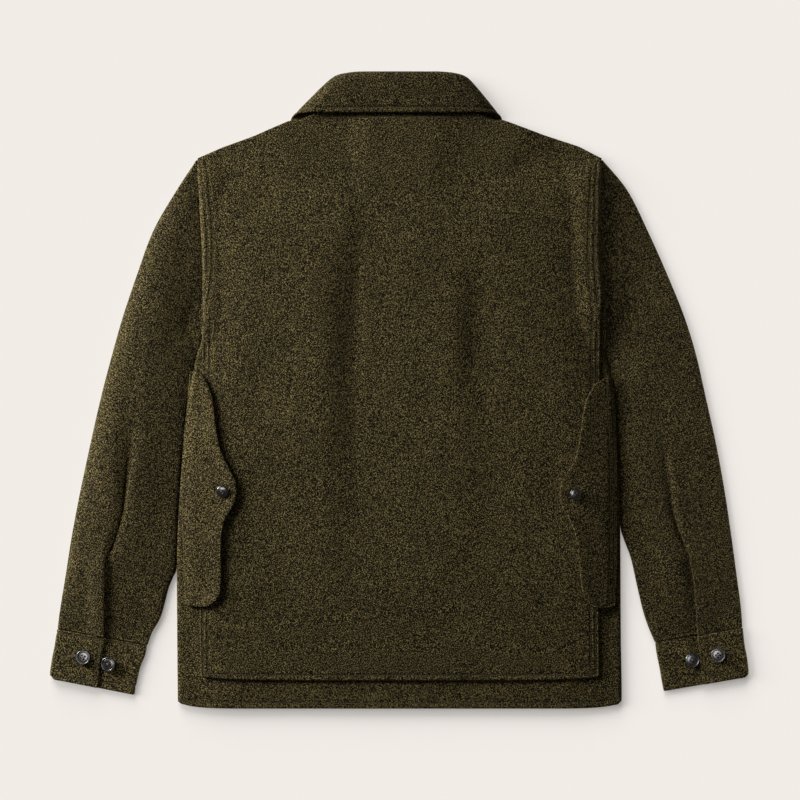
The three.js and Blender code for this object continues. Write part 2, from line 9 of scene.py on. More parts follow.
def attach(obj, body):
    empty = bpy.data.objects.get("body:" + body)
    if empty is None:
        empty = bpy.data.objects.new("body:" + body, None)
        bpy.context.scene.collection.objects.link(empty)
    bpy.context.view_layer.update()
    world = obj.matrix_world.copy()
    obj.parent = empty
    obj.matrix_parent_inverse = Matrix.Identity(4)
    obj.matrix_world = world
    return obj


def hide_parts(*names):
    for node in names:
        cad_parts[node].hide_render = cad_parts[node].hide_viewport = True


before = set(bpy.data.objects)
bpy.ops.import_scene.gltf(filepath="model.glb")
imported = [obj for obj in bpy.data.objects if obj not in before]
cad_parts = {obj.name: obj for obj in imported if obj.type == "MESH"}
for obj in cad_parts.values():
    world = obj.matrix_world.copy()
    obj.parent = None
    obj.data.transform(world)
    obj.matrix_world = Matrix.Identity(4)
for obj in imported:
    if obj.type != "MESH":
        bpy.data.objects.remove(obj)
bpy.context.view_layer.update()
scene = bpy.context.scene
middle = (0.3, -1.7)  # middle of the outline on the table, which is the origin of the frame
cloth = 2.6  # wall of the wool
seamGap = 0.3  # between two layers that touch
layer = cloth + seamGap
sideGap = 0.4  # between a sleeve and the side of the body

cameraFacts = {
    "centre": (0.0009, -0.0117),  # what the middle of the picture looks at
    "height": 2.308,
    "lens": 85,
    "sensor": 36,
    "farthest": 30,
}


def addObject(name, data):
    made = bpy.data.objects.new(name, data)
    scene.collection.objects.link(made)
    return made


def makeCamera():
    data = bpy.data.cameras.new("photoCamera")
    data.lens = cameraFacts["lens"]
    data.sensor_width = cameraFacts["sensor"]
    data.clip_end = cameraFacts["farthest"]
    scene.camera = addObject("photoCamera", data)
    scene.camera.location = (*cameraFacts["centre"], cameraFacts["height"])


makeCamera()
print("camera placed")


# Small maths on arrays


def smooth(start, end, value):
    t = np.clip((value - start) / (end - start), 0, 1)
    return t * t * (3 - 2 * t)


def lerp(a, b, t):
    return a + (b - a) * t


def unit(vectors):
    return vectors / np.maximum(np.linalg.norm(vectors, axis=-1, keepdims=True), 1e-9)


def cubic(values, slopes, i, gap, t):  # from value i, at share 0, to the next one, at share 1
    return (
        values[i] * (1 + 2 * t) * (1 - t) ** 2
        + slopes[i] * gap * t * (1 - t) ** 2
        + values[i + 1] * t * t * (3 - 2 * t)
        + slopes[i + 1] * gap * t * t * (t - 1)
    )


def ease(xs, ys, x):  # smooth curve through a table, without overshoot
    xs, ys = np.asarray(xs, float), np.asarray(ys, float)
    if xs[0] > xs[-1]:
        xs, ys = xs[::-1], ys[::-1]
    flat = ys.ndim == 1
    ys = ys.reshape(len(xs), -1)
    gap = np.diff(xs)[:, None]
    slope = np.diff(ys, axis=0) / gap
    tangent = np.zeros_like(ys)
    tangent[0], tangent[-1] = slope[0], slope[-1]
    before, after = slope[:-1], slope[1:]
    same = before * after > 0
    total = np.where(same, before + after, 1)
    tangent[1:-1] = np.where(same, 2 * before * after / total, 0)
    x = np.clip(np.asarray(x, float), xs[0], xs[-1])
    shape = x.shape
    x = x.ravel()
    i = np.clip(np.searchsorted(xs, x) - 1, 0, len(xs) - 2)
    h = gap[i]
    t = ((x - xs[i]) / h[:, 0])[:, None]
    made = cubic(ys, tangent, i, h, t)
    return made.reshape(shape) if flat else made.reshape(*shape, -1)


def roundCurve(points, count):  # points evenly along a smooth curve through a list of points
    points = np.asarray(points, float)
    steps = np.linalg.norm(np.diff(points, axis=0), axis=1) ** 0.5
    knots = np.concatenate([[0], np.cumsum(steps)])
    tangent = np.gradient(points, knots, axis=0)
    t = np.linspace(0, knots[-1], len(points) * 24)
    i = np.clip(np.searchsorted(knots, t) - 1, 0, len(points) - 2)
    h = (knots[i + 1] - knots[i])[:, None]
    s = (t - knots[i])[:, None] / h
    return evenly(cubic(points, tangent, i, h, s), count)


def evenly(line, count):
    run = np.concatenate([[0], np.cumsum(np.linalg.norm(np.diff(line, axis=0), axis=1))])
    marks = np.linspace(0, run[-1], count)
    return np.stack([np.interp(marks, run, line[:, k]) for k in range(line.shape[1])], -1)


def spread(length, band, fine, coarse, ends=(True, True)):  # shares of a length, closer together near its ends
    rim = [np.concatenate([[0], np.arange(2.4, band, fine)]) if on else np.array([0.0]) for on in ends]
    start, stop = [band if on else coarse for on in ends]
    inside = np.linspace(start, length - stop, max(2, round((length - start - stop) / coarse) + 1))
    return np.concatenate([rim[0], inside, length - rim[1][::-1]]) / length


def nearest(x, y, start, end):  # share along a straight line that is nearest to a place, and its distance
    runX, runY = end[0] - start[0], end[1] - start[1]
    along = np.clip(((x - start[0]) * runX + (y - start[1]) * runY) / (runX**2 + runY**2), 0, 1)
    return along, np.hypot(x - start[0] - along * runX, y - start[1] - along * runY)


def toLine(x, y, line):  # distance from a line through a list of points
    best = np.full(x.shape, np.inf)
    for start, end in zip(line[:-1], line[1:]):
        best = np.minimum(best, nearest(x, y, start, end)[1])
    return best


def waves(x, y, size, seed):  # soft unevenness from -1 to 1, the same each run
    chance = np.random.default_rng(seed)
    total = np.zeros(np.broadcast(x, y).shape)
    for _ in range(7):
        angle, phase, stretch = chance.uniform(0, 6.28), chance.uniform(0, 6.28), chance.uniform(0.7, 1.5)
        total += np.sin((x * math.cos(angle) + y * math.sin(angle)) * 6.28 / (size * stretch) + phase)
    return total / 4.2


# Outlines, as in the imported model

bodyEdge = np.array([
    (281, -245.6, 246.9), (269, -245.8, 245.8), (235, -243.3, 244.8), (201, -241.6, 244.0),
    (167, -239.9, 244.3), (141, -238.9, 246.3), (99, -238.9, 251.0), (64, -239.9, 254.6),
    (44, -245.7, 251.4), (22, -250.5, 256.2), (-11, -255.6, 263.0), (-38, -258.9, 264.2),
    (-67, -262.0, 265.4), (-95, -264.9, 267.2), (-160, -269.0, 269.3), (-216, -270.8, 269.6),
    (-294, -270.4, 270.0), (-371, -269.7, 271.1), (-384, -269.4, 270.9),
])
panelEdge = np.array([
    (281, -245.4, 246.7), (235, -243.1, 244.6), (167, -239.7, 244.1), (130, -238.7, 246.4),
    (96, -238.7, 245.0), (60, -239.2, 244.6), (17, -239.4, 244.4), (-263, -242.2, 242.8),
    (-352, -241.6, 244.0),
])
leftShoulder = [(-245.6, 281), (-215.9, 294), (-175.7, 308.5), (-134.0, 326.4), (-121.0, 327.6)]
rightShoulder = [(115.3, 327.6), (127.6, 327.2), (175.6, 309.6), (219.1, 295.4), (247.1, 281)]
backNeck = [(-92.0, 339.0), (-64.0, 341.0), (0.0, 341.2), (64.0, 341.0), (88.0, 339.0)]
frontNeck = [(-92.0, 337.0), (-64.0, 301.0), (-32.0, 287.0), (0.0, 282.0), (32.0, 287.0), (64.0, 301.0),
             (88.0, 337.0)]
backTop = np.array([*leftShoulder, *backNeck, *rightShoulder])
frontTop = np.array([*leftShoulder, *frontNeck, *rightShoulder])

bodyFacts = {
    "topY": 281,  # of the shoulder points, where the armholes end
    "hemY": -383.5,
    "hemDip": 5.7,  # how much lower the hem is in the middle
    "hemCorner": 4.0,  # rounding of the two lower corners
    "hemSquare": 16,  # how late the dip starts beside them
    "neckDip": 6.6,  # how far the back falls towards the neck seam
    "centre": 0.4985,  # share of the width at which the fronts meet
    "overlapReach": 22,
    "loft": 7.6,  # air inside, where nothing presses the back down
    "sideRise": 70,  # how far in from a side edge the air takes to rise
    "hemLoft": 0.5,  # share of it left at the hem
    "wave": 0.45,  # unevenness of the cloth
    "edge": (4.6, 9.2),  # how high the turned-in seams stand beside the left and right armhole
    "edgeLow": (1.8, 2.4),  # and lower down
    "edgeWide": (5.5, 2.4),
    "stitchDeep": 0.8,
    "creases": [  # place, depth, and width to the left and right of each soft trough; a ridge is below 0
        [(-62, 262, 0.0, 40, 24), (-84, 182, -1.9, 46, 22), (-92, 109, -2.6, 48, 21), (-94, 35, -2.5, 48, 21),
         (-88, -60, -1.5, 48, 25), (-82, -160, -0.8, 48, 30), (-80, -280, 0.0, 48, 30)],
        [(-12, 262, 0.0, 24, 26), (-34, 182, 2.4, 22, 31), (-46, 109, 3.7, 21, 37), (-52, 35, 3.8, 21, 40),
         (-50, -62, 2.3, 25, 38), (-48, -160, 1.3, 29, 38), (-48, -290, 0.0, 29, 38)],
        [(68, 190, 0.0, 28, 18), (70, 104, -1.5, 30, 16), (66, 48, -1.9, 32, 16), (70, -20, -1.2, 34, 22),
         (76, -110, -0.7, 38, 28), (80, -240, 0.0, 38, 28)],
        [(106, 190, 0.0, 17, 26), (98, 104, 1.7, 16, 28), (94, 48, 2.4, 17, 34), (99, -20, 1.9, 24, 34),
         (108, -110, 1.4, 32, 38), (112, -260, 0.0, 34, 38)],
        [(182, -40, 0.0, 18, 20), (190, -100, 1.6, 18, 20), (196, -165, 0.4, 18, 20)],
        [(-158, -150, 0.0, 24, 26), (-140, -220, 1.2, 24, 26), (-120, -300, 0.0, 24, 26)],
        [(-205, 190, 0.0, 20, 20), (-176, 216, 1.4, 20, 20), (-140, 240, 0.0, 20, 20)],
        [(120, 270, 0.0, 24, 24), (88, 236, 1.2, 24, 24), (60, 205, 0.0, 24, 24)],
        [(-150, 60, 0.0, 22, 22), (-172, 0, 0.8, 22, 22), (-168, -70, 0.0, 22, 22)],
        [(150, -230, 0.0, 30, 30), (60, -290, 1.0, 30, 30), (-60, -300, 0.0, 30, 30)],
    ],
}


def edgesAt(table, y):  # both side edges at a height, on a smooth curve through the table
    both = ease(table[:, 0], table[:, 1:], y)
    return both[..., 0], both[..., 1]


def sideAt(table, side, y):  # one side edge at a height, on straight lines through the table
    return np.interp(-y, -table[:, 0], table[:, {"left": 1, "right": 2}[side]])


def troughs(folds, x, y):  # each fold is a line of places with a depth, and a width on its left and on its right
    total = np.zeros(np.broadcast(x, y).shape)
    for fold in folds:
        best, depth = np.full(total.shape, np.inf), np.zeros(total.shape)
        for start, end in zip(fold[:-1], fold[1:]):
            along, away = nearest(x, y, start, end)
            deep, leftWide, rightWide = (lerp(a, b, along) for a, b in zip(start[2:], end[2:]))
            runX, runY = end[0] - start[0], end[1] - start[1]
            onLeft = ((x - start[0]) * runY - (y - start[1]) * runX) * np.sign(runY) < 0
            wide = np.where(onLeft, leftWide, rightWide)
            nearer = away < best
            depth = np.where(nearer, deep * np.exp(-((away / wide) ** 2)), depth)
            best = np.where(nearer, away, best)
        total = total + depth
    return total


def outsideLeaf(x, y):
    def beyond(a, b):
        run = np.array([b[0] - a[0], b[1] - a[1]], float)
        run /= np.hypot(*run)
        return (-np.abs(x) - a[0]) * run[1] - (y - a[1]) * run[0]

    return np.maximum(beyond((-156, 330), (-84, 206)), beyond((-84, 206), (0, 270)))


def frontLift(x, y):  # underside of the fronts, over the front buttons and the collar's leaves
    placket = (1 - smooth(36, 84, np.abs(x))) * smooth(-335, -245, y)
    leaf = 1 - smooth(0, 45, outsideLeaf(x, y))
    return layer * np.maximum(placket, leaf)


def rightFrontLift(x, y):
    return frontLift(x, y) + layer * (1 - smooth(36, 66, x))


def insideBody(x, y):  # distance from the nearer side edge
    return np.minimum(x - sideAt(bodyEdge, "left", y), sideAt(bodyEdge, "right", y) - x)


def backLift(x, y):  # underside of the back: a low pillow of air over both fronts, with its troughs
    foot = np.where(x < 0, 64, 80)
    ridge = 1 - smooth(36, foot, np.abs(x))
    stack = frontLift(x, y) + layer + layer * ridge
    inset = np.maximum(insideBody(x, y), 0)
    rise = 1 - (1 - np.clip(inset / bodyFacts["sideRise"], 0, 1)) ** 2
    rise = rise * (1 - smooth(205, 296, y)) * lerp(1, bodyFacts["hemLoft"], smooth(-215, -384, y))
    air = bodyFacts["loft"] + bodyFacts["wave"] * waves(x, y, 110, 4)
    dome = layer + rise * np.maximum(0, air - troughs(bodyFacts["creases"], x, y))
    onRight = smooth(-10, 10, x)
    upper, lower = lerp(*bodyFacts["edge"], onRight), lerp(*bodyFacts["edgeLow"], onRight)
    seamHigh = lerp(lower, upper, smooth(20, 100, y)) * (1 - smooth(255, 285, y))
    near = 1 - (1 - np.clip(inset / lerp(*bodyFacts["edgeWide"], onRight), 0, 1)) ** 2
    dome = np.maximum(dome, layer + seamHigh * near * (1 - smooth(14, 60, inset)))
    blend = 0.7 * smooth(0, 20, inset)
    neck = bodyFacts["neckDip"] * smooth(329.0, 332.5, y) * (1 - smooth(62, 104, np.abs(x)))
    return np.maximum(0.5 * (stack + dome + np.sqrt((stack - dome) ** 2 + blend**2)) - neck, 0.4)


def hemFall(y, share, square):  # how far a row near the hem runs below its ends
    dip = np.clip((y + 290) / (bodyFacts["hemY"] + 290), 0, 1) ** 2
    return bodyFacts["hemDip"] * (1 - np.abs(2 * share - 1) ** square) * dip


def bodyPlan(rowY, share, top, edges, hemY, corner, square):  # a place at a row and a share across it
    left, right = edgesAt(edges, rowY)
    inset = corner - np.sqrt(corner**2 - (corner - np.clip(rowY - hemY, 0, corner)) ** 2)
    x = lerp(left + inset, right - inset, share)
    rise = np.clip((rowY + 60) / (bodyFacts["topY"] + 60), 0, 1) ** 2
    topY = np.interp(lerp(top[0, 0], top[-1, 0], share), top[:, 0], top[:, 1])
    return x, rowY + (topY - bodyFacts["topY"]) * rise - hemFall(rowY, share, square)


bodyHem = (bodyFacts["hemY"], bodyFacts["hemCorner"], bodyFacts["hemSquare"])

# Closed shells from a middle surface


def gridQuads(rows, columns):
    i, j = np.meshgrid(np.arange(rows - 1), np.arange(columns - 1), indexing="ij")
    first = i * columns + j
    return np.stack([first, first + 1, first + columns + 1, first + columns], -1).reshape(-1, 4)


def vertexNormals(points, quads):
    across = points[quads[:, 2]] - points[quads[:, 0]]
    along = points[quads[:, 3]] - points[quads[:, 1]]
    faces = np.cross(across, along)
    normals = np.zeros_like(points)
    for k in range(4):
        np.add.at(normals, quads[:, k], faces)
    return unit(normals)


def thicken(points, quads, sink=None, steps=4):  # a closed shell round a middle surface, with a rounded rim
    count = len(points)
    points = points.copy()
    half = cloth / 2
    normals = vertexNormals(points, quads)
    edges = np.concatenate([quads[:, [k, (k + 1) % 4]] for k in range(4)])
    forward, backward = edges[:, 0] * count + edges[:, 1], edges[:, 1] * count + edges[:, 0]
    rim = edges[~np.isin(forward, backward)]
    after, before = np.full(count, -1), np.full(count, -1)
    after[rim[:, 0]], before[rim[:, 1]] = rim[:, 1], rim[:, 0]
    at = rim[:, 0]
    tangent = unit(unit(points[after[at]] - points[at]) + unit(points[at] - points[before[at]]))
    out = unit(np.cross(tangent, normals[at]))
    points[at] -= out * half
    normals = vertexNormals(points, quads)
    depth = 0 if sink is None else sink.reshape(-1, 1)
    outer = points + normals * (half - depth)
    inner = points - normals * half
    angles = [math.radians(90 - 180 * (k + 1) / (steps + 1)) for k in range(steps)]
    lift = normals[at]
    rings = [points[at] + half * (math.cos(a) * out + math.sin(a) * lift) for a in angles]
    place = np.full(count, -1)
    place[at] = np.arange(len(at))
    ringAt = [2 * count + k * len(at) + place for k in range(steps)]
    lines = [np.arange(count), *ringAt, np.arange(count) + count]
    a, b = rim[:, 0], rim[:, 1]
    sides = [np.stack([upper[b], upper[a], lower[a], lower[b]], -1) for upper, lower in zip(lines[:-1], lines[1:])]
    allQuads = np.concatenate([quads, quads[:, ::-1] + count, *sides])
    allPoints = np.concatenate([outer, inner, *rings])
    source = np.concatenate([np.arange(count), np.arange(count), *[at] * steps])
    return allPoints, allQuads, source


def toFrame(points):
    return (points - np.array([middle[0], middle[1], 0])) / 1000


def makeObject(name, points, quads, uv, material):
    corners = points[quads]
    volume = np.einsum("ij,ij->i", corners[:, 0], np.cross(corners[:, 1], corners[:, 2])).sum()
    volume += np.einsum("ij,ij->i", corners[:, 0], np.cross(corners[:, 2], corners[:, 3])).sum()
    if volume < 0:
        quads = quads[:, ::-1]
    points[:, 2] = np.maximum(points[:, 2], 0)
    mesh = bpy.data.meshes.new(name)
    mesh.from_pydata(toFrame(points).tolist(), [], quads.tolist())
    mesh.shade_smooth()
    loops = np.empty(len(mesh.loops), dtype=np.int32)
    mesh.loops.foreach_get("vertex_index", loops)
    mesh.uv_layers.new(name="grain").data.foreach_set("uv", (uv[loops] / 1000).ravel())
    mesh.materials.append(material)
    return addObject(name, mesh)


def halfArea(points, quads):  # one side's area of a closed shell, in square metres
    corners = points[quads]
    first = np.linalg.norm(np.cross(corners[:, 1] - corners[:, 0], corners[:, 2] - corners[:, 0]), axis=1)
    second = np.linalg.norm(np.cross(corners[:, 2] - corners[:, 0], corners[:, 3] - corners[:, 0]), axis=1)
    return (first.sum() + second.sum()) / 4 / 1e6


def layFabric(name, node, mid, material, cut, restsOn, sink=None, quads=None):
    quads = gridQuads(*mid.shape[:2]) if quads is None else quads
    alongRows = np.linalg.norm(np.diff(mid, axis=1, prepend=mid[:, :1]), axis=2).cumsum(axis=1)
    downRows = np.linalg.norm(np.diff(mid, axis=0, prepend=mid[:1]), axis=2).cumsum(axis=0)
    uv = np.stack([alongRows, downRows], -1).reshape(-1, 2)
    closed, faces, source = thicken(mid.reshape(-1, 3), quads, None if sink is None else sink.ravel())
    piece = makeObject(name, closed, faces, uv[source], material)
    area = halfArea(closed, faces)
    pieceLog[name] = (piece, node, cut, restsOn, area)
    print(f"{name}: {len(faces) * 2} triangles, {area:.4f} square metres")


pieceLog = {}


# Shader maths


class Socket:
    def __init__(self, graph, socket):
        self.graph, self.socket = graph, socket

    def maths(self, operation, *others):
        return self.graph.node("Math", {"operation": operation}, dict(enumerate((self, *others))))

    def __add__(self, other):
        return self.maths("ADD", other)

    def __sub__(self, other):
        return self.maths("SUBTRACT", other)

    def __mul__(self, other):
        return self.maths("MULTIPLY", other)

    def between(self, low, high):  # 0 at low and 1 at high, held inside that range
        return self.graph.node("MapRange", {"clamp": True}, {"Value": self, "From Min": low, "From Max": high})


class Graph:
    def __init__(self, name):
        self.material = bpy.data.materials.new(name)
        self.material.use_nodes = True
        self.tree = self.material.node_tree
        self.tree.nodes.clear()
        self.shader = self.tree.nodes.new("ShaderNodeBsdfPrincipled")
        out = self.tree.nodes.new("ShaderNodeOutputMaterial")
        self.tree.links.new(self.shader.outputs[0], out.inputs[0])

    def node(self, kind, settings=None, inputs=None, output=0):
        made = self.tree.nodes.new("ShaderNode" + kind)
        for key, value in (settings or {}).items():
            if key == "stops":
                self.fillRamp(made.color_ramp, value)
            else:
                setattr(made, key, value)
        for key, value in (inputs or {}).items():
            self.feed(made.inputs[key], value)
        return Socket(self, made.outputs[output])

    def fillRamp(self, ramp, stops):
        while len(ramp.elements) < len(stops):
            ramp.elements.new(0.5)
        for element, (place, colour) in zip(ramp.elements, stops):
            element.position = place
            element.color = (*colour, 1)

    def feed(self, socket, value):
        if isinstance(value, Socket):
            self.tree.links.new(value.socket, socket)
        elif isinstance(value, tuple) and len(value) == 3 and socket.type == "RGBA":
            socket.default_value = (*value, 1)
        else:
            socket.default_value = value

    def mix(self, share, first, second, blend="MIX"):
        return self.node("Mix", {"data_type": "RGBA", "blend_type": blend}, {0: share, 6: first, 7: second}, 2)

    def place(self, turn=(0, 0, 0), source="Object"):  # a place on the piece in millimetres
        at = self.node("TexCoord", output={"Object": 3, "UV": 2}[source])
        return self.node("Mapping", {}, {"Vector": at, "Scale": (1000, 1000, 1000), "Rotation": turn})

    def noise(self, place, scale, detail, rough, output=0, **more):
        facts = {"Vector": place, "Scale": scale, "Detail": detail, "Roughness": rough, **more}
        return self.node("TexNoise", {}, facts, output)

    def finish(self, fixed, **varying):
        for key, value in fixed.items():
            self.feed(self.shader.inputs[key], value)
        for key, value in varying.items():
            self.feed(self.shader.inputs[key.replace("_", " ")], value)
        return self.material


woolFacts = {
    "shadow": (0.0026, 0.0019, 0.0005),  # between the fibres
    "ground": (0.0185, 0.0138, 0.0044),
    "light": (0.0660, 0.0505, 0.0176),
    "khaki": (0.2700, 0.2100, 0.0810),
    "fleck": 1.27,  # size of the heathered flecks
    "contrast": (2.75, 2.65, 0.10),  # of both sets of flecks, and of the twill
    "level": 0.452,
    "bump": 0.6,
    "sheen": 0.10,
}


# paintedShadeFactor below 1 darkens the whole wool evenly: painted shade for parts that lie in shade
def makeWool(name, paintedShadeFactor=1.0):
    facts = woolFacts
    g = Graph(name)
    place = g.place()
    grain = g.place((0, 0, math.radians(38)), "UV")
    leanOne, leanTwo = [
        g.node("Mapping", {"vector_type": "TEXTURE"},
               {"Vector": place, "Rotation": (0, 0, math.radians(turn)), "Scale": (1, long, 1)})
        for turn, long in ((38, 1.7), (-24, 1.5))
    ]
    size = 1 / facts["fleck"]
    one = g.noise(leanOne, size * 1.25, 1.0, 0.6)
    two = g.noise(leanTwo, size * 1.45, 1.0, 0.6)
    tint = g.noise(place, size * 0.85, 1.0, 0.5, 1)
    broad = g.noise(place, 0.018, 2.0, 0.55)
    twill = g.node("TexWave", {"bands_direction": "X"},
                   {"Vector": grain, "Scale": 0.17, "Distortion": 5.0, "Detail": 2.0, "Detail Scale": 0.7})
    strong, even, faint = facts["contrast"]
    fibre = (one - 0.5) * strong + (two - 0.5) * even + (twill - 0.5) * faint + facts["level"]
    colour = g.node("ValToRGB", {"stops": [
        (0.20, facts["shadow"]),
        (0.47, facts["ground"]),
        (0.66, facts["light"]),
        (0.86, facts["khaki"]),
    ]}, {0: fibre})
    split = g.node("SeparateColor", {}, {0: tint})
    green = g.node("SeparateColor", {}, {0: tint}, 1)
    colour = g.mix(split.between(0.56, 0.66) * 0.55, colour, g.mix(1.0, colour, (0.92, 1.22, 0.95), "MULTIPLY"))
    colour = g.mix(green.between(0.57, 0.68) * 0.65, colour, g.mix(1.0, colour, (1.38, 1.02, 1.05), "MULTIPLY"))
    # random broad tone, times the painted shade factor
    toneWithPaintedShade = (broad - 0.5) * 0.5 + paintedShadeFactor
    colour = g.mix(1.0, colour, g.node("CombineColor", {}, {0: toneWithPaintedShade, 1: toneWithPaintedShade, 2: toneWithPaintedShade}), "MULTIPLY")
    nap = g.noise(place, 1.1, 2.0, 0.6)
    relief = fibre * 0.7 + nap * 0.5
    normal = g.node("Bump", {}, {"Strength": facts["bump"], "Distance": 0.0007, "Height": relief})
    return g.finish({
        "Roughness": 0.92,
        "Specular IOR Level": 0.12,
        "Sheen Weight": facts["sheen"],
        "Sheen Roughness": 0.45,
        "Sheen Tint": (0.92, 0.82, 0.55),
    }, Base_Color=colour, Normal=normal)


def makeThread(name, light, dark):
    g = Graph(name)
    place = g.place()
    twist = g.noise(place, 2.6, 2.0, 0.6)
    strand = g.node("TexWave", {"bands_direction": "DIAGONAL"}, {"Vector": place, "Scale": 2.2, "Distortion": 1.0})
    colour = g.mix(twist.between(0.35, 0.68), dark, light)
    normal = g.node("Bump", {}, {"Strength": 0.5, "Distance": 0.0001, "Height": strand * 0.6 + twist * 0.4})
    return g.finish({
        "Roughness": 0.7,
        "Specular IOR Level": 0.25,
        "Sheen Weight": 0.1,
        "Sheen Roughness": 0.4,
        "Sheen Tint": (0.9, 0.8, 0.6),
    }, Base_Color=colour, Normal=normal)


hornFacts = {"dark": (0.0040, 0.0036, 0.0036), "brown": (0.016, 0.010, 0.007), "roughness": 0.26}


def makeHorn(name):
    g = Graph(name)
    place = g.place((0, 0, 0.5))
    veins = g.noise(place, 0.28, 3.0, 0.6, Distortion=1.4)
    scuffs = g.noise(place, 3.5, 3.0, 0.6)
    colour = g.mix(veins.between(0.48, 0.72), hornFacts["dark"], hornFacts["brown"])
    rough = scuffs.between(0.4, 0.75) * 0.10 + hornFacts["roughness"]
    normal = g.node("Bump", {}, {"Strength": 0.05, "Distance": 0.0001, "Height": scuffs})
    return g.finish({
        "IOR": 1.55,
        "Specular IOR Level": 0.6,
        "Coat Roughness": 0.18,
        "Coat Weight": 0.6,
    }, Base_Color=colour, Roughness=rough, Normal=normal)


wool = makeWool("heatheredWool")
collarShadedWool = makeWool("collarShadedWool", paintedShadeFactor=0.80)  # a darker copy of the same wool: painted shade on the collar
# darker copies of the same wool: painted shade on the sleeves, more on the right one
sleeveShadedWool = {
    "left": makeWool("leftSleeveShadedWool", paintedShadeFactor=0.87),
    "right": makeWool("rightSleeveShadedWool", paintedShadeFactor=0.82),
}
olive = makeThread("oliveThread", (0.170, 0.142, 0.072), (0.046, 0.038, 0.018))
russet = makeThread("russetThread", (0.330, 0.220, 0.175), (0.130, 0.080, 0.060))
horn = makeHorn("darkHorn")
print("materials made")


# The body: two fronts, the back, and the panel sewn on the back

panelFacts = {
    "hemY": -352,
    "corner": 3.0,
    "square": 6,  # how late the dip of its hem starts beside the corners
    "cornerLift": 1.5,
    "stitchDeep": 0.95,
    "stitchWide": 1.5,
    "pucker": 0.4,
}
armholeLeft = [[(-241.6, 278), (-238, 244), (-234.6, 210), (-232, 175.7), (-232.6, 141), (-235.3, 112)],
               [(-234.6, 278), (-230.3, 244), (-227, 210), (-226, 175.7), (-227, 141.5), (-230.3, 116),
                (-233.8, 98.8), (-236.2, 86)]]
armholeRight = [[(241, 275.7), (238, 243), (238, 202.5), (236.7, 162), (239, 128), (241.6, 105.5)],
                [(233.9, 269.6), (231.8, 237), (230.6, 202.5), (229.8, 172), (230.8, 142), (233.6, 108),
                 (236.4, 82)]]


def panelSide(side, inside, topY):  # a line inside one side edge of the panel
    ys = np.linspace(topY, inside - 350, 60)
    left, right = edgesAt(panelEdge, ys)
    return list(zip(left + inside if side == "left" else right - inside, ys))


def hemLine(above, fromX, toX, base, square):  # a line above a hem, which dips in the middle
    xs = np.linspace(fromX, toX, 90)
    return list(zip(xs, base + above - hemFall(base, (xs + 270.5) / 541.5, square)))


panelLines = [
    *armholeLeft,
    *armholeRight,
    panelSide("left", 4, 62),
    panelSide("left", 10, 78),
    panelSide("right", 4, 66),
    panelSide("right", 10, 78),
    hemLine(6.5, -236, 238, panelFacts["hemY"], panelFacts["square"]),
]
bodyLines = [hemLine(6.5, -266, 267, bodyFacts["hemY"], bodyFacts["hemSquare"])]


def stitchSink(x, y, lines, deep, wide):
    depth = 0
    for line in lines:
        depth = np.maximum(depth, deep * np.exp(-((toLine(x, y, line) / wide) ** 2)))
    return depth


def panelUnder(x, y):  # underside of the panel, slightly puckered along its stitched edges
    left, right = edgesAt(panelEdge, y)
    edge = np.minimum(np.minimum(x - left, right - x), y + 354)
    pucker = panelFacts["pucker"] * (0.5 + 0.5 * waves(x, y, 17, 9)) * np.exp(-((edge - 11) / 9) ** 2)
    return backLift(x, y) + layer + pucker


def layBody():
    rowY = lerp(bodyFacts["hemY"], bodyFacts["topY"], spread(664, 14, 1.3, 4.2))
    s, r = np.meshgrid(spread(541, 14, 2.0, 4.6), rowY)
    x, y = bodyPlan(r, s, backTop, bodyEdge, *bodyHem)
    mid = np.stack([x, y, backLift(x, y) + cloth / 2], -1)
    sink = stitchSink(x, y, bodyLines, bodyFacts["stitchDeep"], 1.5)
    layFabric("backCloth", "back_body", mid, wool, "back", ["frontLeftCloth", "frontRightCloth"], sink)

    hemY, square = panelFacts["hemY"], panelFacts["square"]
    s, r = np.meshgrid(spread(485, 17, 1.15, 3.5), lerp(hemY, bodyFacts["topY"], spread(633, 13, 1.15, 3.4)))
    x, y = bodyPlan(r, s, backTop, panelEdge, hemY, panelFacts["corner"], square)
    y = y + panelFacts["cornerLift"] * np.abs(2 * s - 1) ** square * smooth(-250, hemY, r)
    mid = np.stack([x, y, panelUnder(x, y) + cloth / 2], -1)
    sink = stitchSink(x, y, panelLines, panelFacts["stitchDeep"], panelFacts["stitchWide"])
    layFabric("backPanelCloth", "back_pocket_panel", mid, wool, "panel", ["backCloth"], sink)

    rowY = lerp(bodyFacts["hemY"], bodyFacts["topY"], spread(664, 12, 2.4, 5.5, (True, False)))
    s, r = np.meshgrid(spread(270, 14, 2.4, 5.5), rowY)
    centre, reach = bodyFacts["centre"], bodyFacts["overlapReach"] / 541
    for side, lift, low, high, restsOn in (
        ("left", frontLift, 0.0, centre + reach, ["floor"]),
        ("right", rightFrontLift, centre - reach, 1.0, ["floor", "frontLeftCloth"]),
    ):
        x, y = bodyPlan(r, lerp(low, high, s), frontTop, bodyEdge, *bodyHem)
        mid = np.stack([x, y, lift(x, y) + cloth / 2], -1)
        layFabric(f"front{side.title()}Cloth", f"front_{side}", mid, wool, "front", restsOn)


layBody()
print("body laid")


# Flaps, from top to bottom: the free edge and the edge sewn at the side

